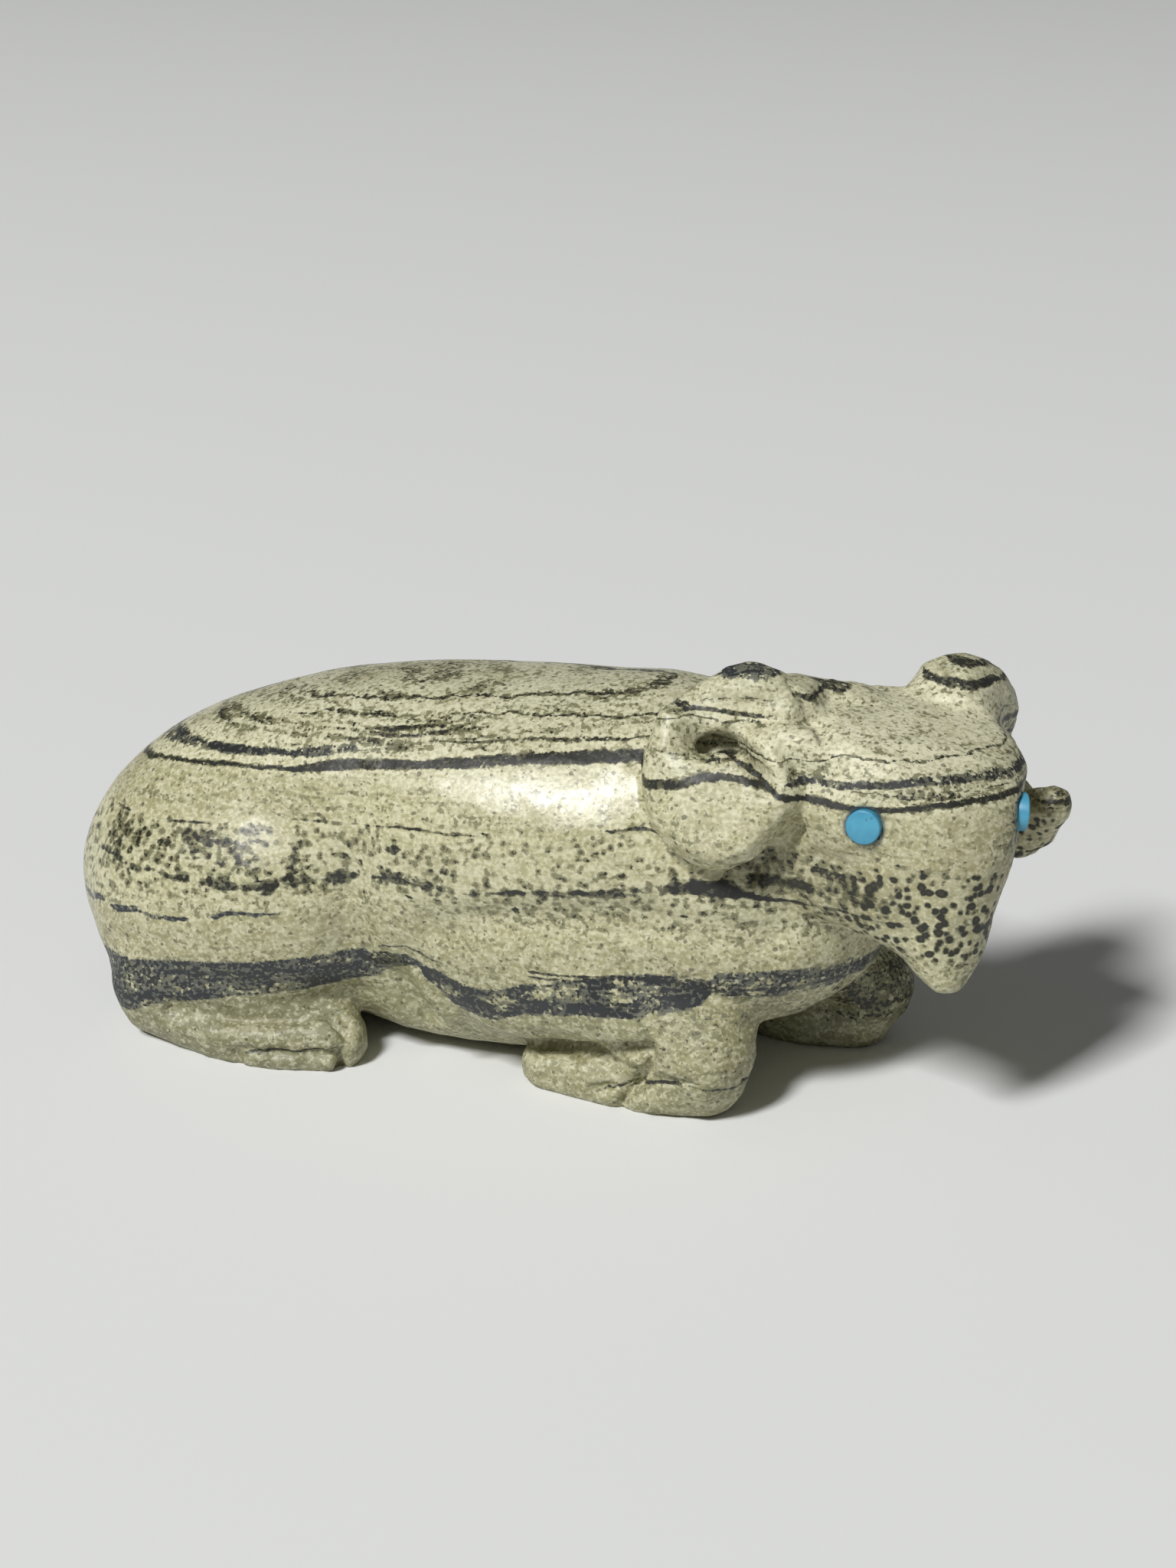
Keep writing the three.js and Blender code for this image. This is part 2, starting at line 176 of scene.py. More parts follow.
# Lines and valleys cut into the stone: half-width, depth and the points they run through.
# A depth below zero is a swelling.
CUTS = (
    # The haunch parted from the ribs, and the ribs from the foreleg.
    (1.2, 0.4, (
        (-9.1, -7.6, 15.8), (-9.1, -8.1, 13.8), (-9.4, -8.2, 11.6), (-9.7, -8.0, 9.3), (-9.9, -7.9, 7.2))),
    (1.2, 0.45, (
        (-4.9, -8.6, 9.2), (-1.4, -8.9, 10.0), (2.1, -8.9, 10.7), (5.4, -8.7, 11.2), (8.2, -8.5, 11.0),
        (10.6, -8.1, 10.6), (13.5, -6.9, 10.4))),
    # The plain hollow over the hind leg, the hock, and the lines round the hind hoof.
    (0.55, 0.75, (
        (-20.0, -9.8, 2.7), (-18.1, -9.9, 2.8), (-15.5, -9.6, 2.9), (-12.5, -8.6, 3.1), (-9.5, -7.2, 3.9))),
    (0.4, 0.8, ((-11.0, -8.1, 3.1), (-10.3, -8.3, 2.6), (-10.0, -8.3, 2.2))),
    (0.24, 0.35, ((-15.6, -10.2, 1.2), (-14.0, -10.0, 1.1), (-12.1, -9.7, 1.1), (-10.0, -8.9, 1.2))),
    (0.3, 0.6, ((-10.1, -9.2, 1.5), (-10.0, -8.9, 0.9), (-10.3, -8.6, 0.2))),
    (0.3, 0.4, ((-16.0, -10.1, 1.0), (-15.9, -9.9, 0.1))),
    # The hollow behind the elbow and the elbow's swollen edge, the slot over the lower
    # foreleg, and the two lines of the front hoof.
    (0.8, 0.7, ((-7.6, -7.3, 5.2), (-7.0, -6.8, 4.0), (-6.1, -6.2, 2.6))),
    (0.45, -0.4, ((-6.2, -7.6, 6.0), (-5.2, -7.4, 4.8), (-4.2, -7.0, 3.4))),
    (0.5, 0.8, ((0.1, -6.6, 2.3), (2.3, -7.0, 2.6), (4.8, -8.6, 3.4), (7.4, -9.5, 4.2))),
    (0.22, 0.35, ((3.9, -8.4, 0.8), (6.6, -8.7, 1.9), (9.7, -9.7, 2.8), (12.4, -7.3, 2.5))),
    (0.32, 0.6, ((5.8, -8.6, 0.2), (6.3, -8.8, 1.3), (6.8, -8.6, 2.2), (7.7, -9.4, 3.4))),
    # The edge under the chest.
    (0.3, 0.3, ((12.3, -7.2, 5.3), (13.5, -4.5, 4.9), (15.7, -3.5, 5.9), (16.8, -3.0, 7.0))),
    # The near horn: the hollow arch inside its curl and the ridge over it, the edge against
    # the brow and the swelling beside the edge, the foot of the cap, the step in the lower
    # edge of the tip, and the swellings before and behind the arch.
    (0.42, 1.1, (
        (9.1, -5.8, 20.0), (9.8, -5.6, 20.2), (10.7, -5.9, 20.3), (12.0, -7.4, 20.4), (12.9, -8.0, 20.0),
        (13.4, -8.5, 19.6))),
    (0.6, -0.5, ((10.1, -5.7, 21.4), (11.3, -5.4, 21.1), (12.9, -7.1, 20.8), (13.7, -7.7, 20.1))),
    (0.3, 0.3, ((13.4, -4.3, 23.5), (14.3, -4.6, 22.7), (15.0, -5.0, 21.8), (15.7, -6.1, 21.3))),
    (0.8, -0.5, ((13.8, -2.9, 22.8), (14.6, -3.7, 21.9))),
    (0.35, 0.18, ((9.5, -5.6, 22.7), (10.9, -5.7, 22.5), (12.8, -5.3, 22.8))),
    (0.4, 0.4, ((14.5, -7.5, 16.5), (13.2, -6.8, 15.0), (12.6, -6.9, 14.1))),
    (0.7, -0.35, ((13.7, -6.8, 21.3), (14.7, -6.7, 21.3))),
    (0.9, -0.9, ((7.8, -6.4, 21.4), (7.8, -7.0, 20.4), (8.2, -7.4, 19.6))),
    # A short crack in the back, at the head of the haunch.
    (0.12, 0.14, ((-10.4, -6.9, 16.7), (-10.6, -7.4, 15.3))),
    # The plainer far side: haunch and hind leg again.
    (1.2, 0.35, ((-9.1, 7.6, 15.8), (-9.4, 8.2, 11.6), (-9.9, 7.9, 7.2))),
    (0.7, 0.5, ((-19.8, 9.7, 3.0), (-15.2, 9.1, 3.5), (-10.9, 6.9, 3.9))),
)

# How near to the surface the cuts are worked out, and how far from it they keep their width.
CUT_REACH = 1.5
CUT_STRAIGHT = 1.2

# Flats cut across the stone: a point on the flat, the way it faces, and how far it reaches.
FLATS = (
    ((11.6, -9.15, 17.7), (0.057, -0.938, 0.342), 3.0),
    ((13.6, -8.5, 16.5), (0.79, -0.42, -0.44), 2.0),
)

# Scraping leaves small flats: how many points of the mesh there are to a flat, how many
# flats shape a point and over what width they blend, the deepest scrape, how much of the
# way to the flats a point goes, and the height of the foot that is left as it is.
POINTS_PER_FLAT = 26
FLATS_AT_POINT = 3
FLAT_BLEND = 0.08
SCRAPE_DEPTH = 0.12
SCRAPED = 0.75
UNSCRAPED_FOOT = 0.3

# The body is rubbed smoother: the share of its flats that are kept, how much less far its
# points go, where it ends before the neck and above the legs, and how each end fades.
BODY_FLATS = 0.25
BODY_SMOOTHER = 0.35
BODY_FRONT, BODY_LOW = 8, 5
BODY_FADE_FROM, BODY_FADE = 9, 3
LEGS_FADE_FROM, LEGS_FADE = 4, 2


# The carving's axes and the frame's

def head_point(forward, left, up):
    return FACE + forward * FORWARD + left * LEFT + up * UP


def head_axes(p):
    q = [p[i] - FACE[i] for i in range(3)]
    return [sum(q[i] * axis[i] for i in range(3)) for axis in (FORWARD, LEFT, UP)]


def eye_look(eye):
    """How far forward and how far left an eye looks."""
    splay = math.radians(eye["splay"])
    return math.cos(splay), math.copysign(math.sin(splay), eye["place"][1])


def eye_axis(eye):
    forward, left = eye_look(eye)
    return forward * FORWARD + left * LEFT


def frame_shift():
    """From the carving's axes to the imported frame, in mm, taken from where the right eye is."""
    low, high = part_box("eye_right")
    middle = (np.array(low) + np.array(high)) / 2 / MM
    rod = head_point(*EYE_RIGHT["place"]) + eye_axis(EYE_RIGHT) * (EYE_PROUD - EYE_DEPTH) / 2
    return middle - rod


SHIFT = frame_shift()

# What keeps a division or a root away from zero.
TINY, TINIER = 1e-6, 1e-9


# Forms, each as a distance that is zero on its surface and negative inside

def turned(p, centre, yaw, pitch):
    """Points in the axes of a form that is turned about its centre."""
    x, y, z = (p[i] - centre[i] for i in range(3))
    a, b = math.radians(yaw), math.radians(pitch)
    x, y = x * math.cos(a) + y * math.sin(a), y * math.cos(a) - x * math.sin(a)
    return [x * math.cos(b) + z * math.sin(b), y, z * math.cos(b) - x * math.sin(b)]


def rounded(p, centre, half, power, yaw, pitch):
    """A form between a ball and a box, the squarer the higher its power."""
    q = turned(p, centre, yaw, pitch)
    a = [np.abs(q[i]) / half[i] + TINY for i in range(3)]
    k = (a[0] ** power + a[1] ** power + a[2] ** power) ** (1 / power)
    slope = np.sqrt(sum((a[i] ** (power - 1) / half[i]) ** 2 for i in range(3))) / k ** (power - 1)
    return (k - 1) / slope


def join(a, b, soft):
    """The nearer of two surfaces, rounded into each other over the width soft."""
    if soft == 0:
        return np.minimum(a, b)
    h = np.maximum(soft - np.abs(a - b), 0) / soft
    return np.minimum(a, b) - h * h * soft / 4


def both(a, b, soft):
    """Where two forms overlap, the edge between them rounded over the width soft."""
    return -join(-a, -b, soft)


def bar(p, a, b):
    """Distance to a round bar tapering from a to b, each a point and a radius."""
    a, b = np.array(a, float), np.array(b, float)
    d = b[:3] - a[:3]
    t = np.clip(sum((p[i] - a[i]) * d[i] for i in range(3)) / (d @ d), 0, 1)
    away = sum((p[i] - a[i] - t * d[i]) ** 2 for i in range(3))
    return np.sqrt(away) - (a[3] + (b[3] - a[3]) * t)


def smooth_line(points, steps=3):
    """Points on a smooth curve through the given ones."""
    p = np.array(points, float)
    p = np.vstack([2 * p[0] - p[1], p, 2 * p[-1] - p[-2]])
    line = []
    for i, t in itertools.product(range(1, len(p) - 2), np.arange(steps) / steps):
        a, b, c, d = p[i - 1:i + 3]
        line.append(b + ((c - a) * t + (2 * a - 5 * b + 4 * c - d) * t ** 2
                         + (3 * b - a - 3 * c + d) * t ** 3) / 2)
    return line + [p[-2]]


def limb(p, points):
    """Bars end to end along a smooth curve."""
    line = smooth_line(points)
    d = bar(p, line[0], line[1])
    for a, b in zip(line[1:-1], line[2:]):
        d = np.minimum(d, bar(p, a, b))
    return d


def away_from(p, line):
    """Distance to a line through points."""
    legs = [bar(p, a + (0,), b + (0,)) for a, b in zip(line, line[1:])]
    return np.minimum.reduce(legs)


def cut_depth(p, under):
    """How deep the cuts go in at each point. Only the distance beside a line counts, and not
    how far under the surface the point is, so that a deep cut keeps its depth."""
    depths = 0
    for width, depth, line in CUTS:
        beside = np.maximum(away_from(p, line) ** 2 - under ** 2, 0)
        depths = depths + depth * np.exp(-beside / width ** 2)
    return depths


def socket(p, eye):
    """The round hole that an eye is set in, a little wider and deeper than the eye."""
    middle = head_point(*eye["place"])
    axis = eye_axis(eye)
    q = [p[i] - middle[i] for i in range(3)]
    height = sum(q[i] * axis[i] for i in range(3))
    across = np.sqrt(np.maximum(sum(v * v for v in q) - height ** 2, 0))
    return np.maximum(across - eye["radius"], np.abs(height) - EYE_DEPTH - GLUE_GAP)


def trunk(p):
    d = np.full(np.shape(p[0]), np.inf)
    for *form, soft in MASSES:
        d = join(d, rounded(p, *form), soft)
    return join(d, bar(p, *NECK), SOFT["neck"])


def skull(q):
    """Level half-ovals, one before and one behind the head's widest place, with flat sides."""
    rows = np.array(smooth_line(SKULL, 5))
    width, front, middle, back = (np.interp(q[2], rows[:, 0], rows[:, i]) for i in (1, 2, 3, 4))
    before = q[0] > middle
    half = np.where(before, front - middle, middle - back)
    power = np.where(before, BROW_POWER, NAPE_POWER)
    along, across = np.abs(q[0] - middle) / half, np.abs(q[1] - SKULL_SIDE) / width
    d = ((along ** power + across ** power + TINIER) ** (1 / power) - 1) * np.minimum(half, width)
    for eye in (EYE_RIGHT, EYE_LEFT):
        forward, left = eye_look(eye)
        beyond = (q[0] - eye["place"][0]) * forward + (q[1] - eye["place"][1]) * left
        d = both(d, beyond, eye["side_soft"])
    return SKULL_EASED * np.maximum(d, np.maximum(q[2] - rows[-1, 0], rows[0, 0] - q[2]))


def with_limbs(d, p, limbs, soft):
    """The form d with limbs joined on."""
    for points in limbs:
        d = join(d, limb(p, points), soft)
    return d


def with_head(d, q):
    """The body with face, cheeks, ears, crest and horns joined on in the head's axes."""
    face = with_limbs(skull(q), q, JAWS, SOFT["jaw"])
    d = join(d, face, SOFT["face"])
    d = with_limbs(d, q, CHEEKS, SOFT["cheek"])
    d = with_limbs(d, q, EARS + (CREST,), SOFT["ear"])
    horn = join(limb(q, HORN_RIGHT), limb(q, HORN_RIGHT_BOSS), SOFT["boss"])
    d = join(d, horn, SOFT["horn_right"])
    return join(d, limb(q, HORN_LEFT), SOFT["horn_left"])


def with_flats(d, p):
    """The form d with the flats cut across it."""
    for point, facing, reach in FLATS:
        from_point = [p[i] - point[i] for i in range(3)]
        above = sum(from_point[i] * facing[i] for i in range(3))
        away = np.sqrt(sum(v * v for v in from_point))
        d = both(d, -np.maximum(-above, away - reach), SOFT["flat"])
    return d


def stone(p):
    """The whole carving, with its cuts and the sockets of the eyes, flat under its feet."""
    d = with_limbs(trunk(p), p, UPPER_LEGS, SOFT["upper_leg"])
    d = with_limbs(d, p, LOWER_LEGS, SOFT["lower_leg"])
    d = with_flats(with_head(d, head_axes(p)), p)
    near = np.abs(d) < CUT_REACH
    d[near] += cut_depth([v[near] for v in p], np.minimum(np.abs(d[near]), CUT_STRAIGHT))
    for eye in (EYE_RIGHT, EYE_LEFT):
        d = both(d, -socket(p, eye), SOFT["socket"])
    return np.maximum(d, -p[2])


# The stone's surface as a mesh

def grid_of(low, high):
    return [np.arange(low[i], high[i] + CELL, CELL) for i in range(3)]


def values_on(form, axes, slab=24):
    """The form's value at every point of a grid, worked out a slab at a time."""
    slabs = []
    for start in range(0, len(axes[0]), slab):
        p = np.meshgrid(axes[0][start:start + slab], axes[1], axes[2], indexing="ij")
        slabs.append(form(p).astype(np.float32))
    return np.concatenate(slabs)


def corner(values, step):
    """The value at one corner of every cell; step says which corner."""
    n = values.shape
    return values[tuple(slice(step[i], n[i] - 1 + step[i]) for i in range(3))]


def cell_points(values, cells, axes):
    """One point in each cell that the surface passes through: the middle of its crossings."""
    total = np.zeros((len(cells[0]), 3))
    count = np.zeros(len(cells[0]))
    for start in itertools.product((0, 1), repeat=3):
        for axis in range(3):
            if start[axis]:
                continue
            end = tuple(1 if i == axis else start[i] for i in range(3))
            a, b = corner(values, start)[cells], corner(values, end)[cells]
            crossing = (a < 0) != (b < 0)
            t = np.where(crossing, a / np.where(crossing, a - b, 1), 0)
            place = np.tile(np.array(start, float), (len(a), 1))
            place[:, axis] += t
            total += place * crossing[:, None]
            count += crossing
    low = np.array([a[0] for a in axes])
    return low + (np.stack(cells, 1) + total / count[:, None]) * CELL


def cell_quads(values, index):
    """Four-sided faces round every grid edge that crosses the surface."""
    inside = values < 0
    faces = []
    for axis in range(3):
        u, v = [i for i in range(3) if i != axis]
        n = values.shape
        keep = [slice(1, n[i] - 1) for i in range(3)]
        near, far = list(keep), list(keep)
        near[axis], far[axis] = slice(0, n[axis] - 1), slice(1, n[axis])
        a, b = inside[tuple(near)], inside[tuple(far)]
        at = [k + (0 if i == axis else 1) for i, k in enumerate(np.nonzero(a != b))]
        outward = a[a != b] == (axis != 1)
        ring = []
        for du, dv in ((1, 1), (0, 1), (0, 0), (1, 0)):
            place = list(at)
            place[u], place[v] = at[u] - du, at[v] - dv
            ring.append(index[tuple(place)])
        ring = np.stack(ring, 1)
        faces.append(np.where(outward[:, None], ring, ring[:, ::-1]))
    return np.concatenate(faces)


def settle(form, points, rounds=2, reach=0.02, least_slope=0.2):
    """Slides each point along the form's slope onto its surface."""
    for _ in range(rounds):
        here = form(list(points.T))
        slope = np.stack([
            (form(list((points + reach * step).T)) - form(list((points - reach * step).T))) / (2 * reach)
            for step in np.eye(3)], 1)
        size = np.maximum((slope ** 2).sum(1), least_slope)
        move = -(here / size)[:, None] * slope
        points = points + np.clip(move, -CELL / 2, CELL / 2)
    return points


def surface_mesh(name, form, low, high):
    """The form's surface as one closed mesh, in metres in the frame."""
    axes = grid_of(low, high)
    values = values_on(form, axes)
    count = sum((corner(values, c) < 0).astype(np.int8) for c in itertools.product((0, 1), repeat=3))
    cells = np.nonzero((count > 0) & (count < 8))
    index = np.full(count.shape, -1)
    index[cells] = np.arange(len(cells[0]))
    points = settle(form, cell_points(values, cells, axes))
    mesh = bpy.data.meshes.new(name)
    mesh.from_pydata(((points + SHIFT) * MM).tolist(), [], cell_quads(values, index).tolist())
    mesh.validate()
    mesh.polygons.foreach_set("use_smooth", np.ones(len(mesh.polygons), bool))
    return mesh, points


def flat_seeds(points):
    """Scattered points of the mesh, each the middle of a flat, with fewer on the body."""
    random = np.random.RandomState(7)
    seeds = random.choice(len(points), len(points) // POINTS_PER_FLAT, replace=False)
    on_body = (points[seeds, 0] < BODY_FRONT) & (points[seeds, 2] > BODY_LOW)
    return seeds[~on_body | (random.rand(len(seeds)) < BODY_FLATS)]


def nearest(points, seeds):
    """The seeds nearest to each point, and how far away they are."""
    tree = KDTree(len(seeds))
    for k, seed in enumerate(seeds):
        tree.insert(points[seed], k)
    tree.balance()
    found = [tree.find_n(point, FLATS_AT_POINT) for point in points]
    near = seeds[np.array([[hit[1] for hit in hits] for hits in found])]
    return near, np.array([[hit[2] for hit in hits] for hits in found])


def scraped(mesh, points):
    """Small flats all over, as files and scrapers leave: each point is drawn towards the
    tangent planes at the nearest of some scattered points."""
    normals = np.zeros(len(points) * 3)
    mesh.vertices.foreach_get("normal", normals)
    normals = normals.reshape(-1, 3)
    near, away = nearest(points, flat_seeds(points))
    weight = np.exp((away[:, :1] - away) / FLAT_BLEND)
    above = ((points[:, None] - points[near]) * normals[near]).sum(2)
    above = (weight * above).sum(1) / weight.sum(1)
    behind_neck = np.clip((BODY_FADE_FROM - points[:, 0]) / BODY_FADE, 0, 1)
    above_legs = np.clip((points[:, 2] - LEGS_FADE_FROM) / LEGS_FADE, 0, 1)
    strength = SCRAPED - BODY_SMOOTHER * behind_neck * above_legs
    move = -strength * np.clip(above, -SCRAPE_DEPTH, SCRAPE_DEPTH)
    move[points[:, 2] < UNSCRAPED_FOOT] = 0
    done = points + move[:, None] * normals
    mesh.vertices.foreach_set("co", ((done + SHIFT) * MM).ravel())


def placed(name, mesh):
    piece = bpy.data.objects.new(name, mesh)
    bpy.context.scene.collection.objects.link(piece)
    return piece


# Materials

def colour(hex_value):
    """An sRGB hex colour as linear values."""
    channels = [int(hex_value[i:i + 2], 16) / 255 for i in (1, 3, 5)]
    return [c / 12.92 if c <= 0.04045 else ((c + 0.055) / 1.055) ** 2.4 for c in channels] + [1]


def new_material(name):
    """A material and the function that adds a node to it, with its settings and links."""
    material = bpy.data.materials.new(name)
    material.use_nodes = True
    tree = material.node_tree
    tree.nodes.clear()

    def add(kind, sockets=(), out=None, points=(), **settings):
        node = tree.nodes.new("ShaderNode" + kind)
        for key, value in settings.items():
            setattr(node, key, value)
        for key, value in (sockets.items() if isinstance(sockets, dict) else enumerate(sockets)):
            if isinstance(value, bpy.types.NodeSocket):
                tree.links.new(value, node.inputs[key])
            else:
                node.inputs[key].default_value = value
        if points:
            shape_curve(node.mapping, points)
        if out is not None:
            return node.outputs[out]
        return next((socket for socket in node.outputs if socket.enabled), None)
    return material, add


def shape_curve(mapping, points):
    """Straight lines from point to point, level beyond the first and the last."""
    line = mapping.curves[0]
    mapping.extend = "HORIZONTAL"
    line.points[0].location, line.points[1].location = points[0], points[-1]
    for point in points[1:-1]:
        line.points.new(*point)
    for point in line.points:
        point.handle_type = "VECTOR"
    mapping.update()


def turquoise():
    """Turquoise: an opaque blue stone, ground to a low dome and polished, with faint
    paler clouds and a few specks of its dark matrix."""
    material, add = new_material("polished_turquoise")
    place = add("TexCoord", out="Object")
    clouds = add("TexNoise", {"Vector": place, "Scale": 1 / (0.9 * MM), "Detail": 3.0})
    tone = add("MapRange", (clouds, 0.35, 0.65))
    blue = add("Mix", {0: tone, 6: colour("#3C8BAA"), 7: colour("#4D9CB9")}, data_type="RGBA")
    grains = add("TexNoise", {"Vector": place, "Scale": 1 / (0.3 * MM), "Detail": 2.0})
    matrix = add("MapRange", (grains, 0.68, 0.72, 0.0, 0.6))
    surface = add("Mix", {0: matrix, 6: blue, 7: colour("#2E4650")}, data_type="RGBA")
    shader = add("BsdfPrincipled", {"Base Color": surface, "Roughness": 0.4, "IOR": 1.61})
    add("OutputMaterial", {"Surface": shader})
    return material


# Beds of the stone. Heights are in mm through the beds: 0 at the lower dark bed, 12 at the
# main dark bed near the top of the side, whose own heights in the carving follow two curves.
LOWER_BED = (
    (-30, 3.4), (-27, 3.9), (-17, 5.2), (-9, 6.3), (-6.5, 6.9), (-4, 6.0), (1, 5.6), (7, 5.8), (12, 5.6),
    (30, 5.2))
MAIN_BED = (
    (-30, 15.4), (-18, 16.7), (-8, 17.4), (0.7, 18.7), (6.5, 19.5), (12, 19.5), (18, 19.2), (24, 18.9),
    (30, 18.8))
BETWEEN = 12.0

# The ranges that the curves run through, in mm: along the body, up from the floor, through
# the beds, and half the thickness of a dark bed.
ALONG = (-30.0, 30.0)
UP_FROM_FLOOR = 30.0
BED = (-6.0, 18.0)
HALF = (-0.2, 2.0)

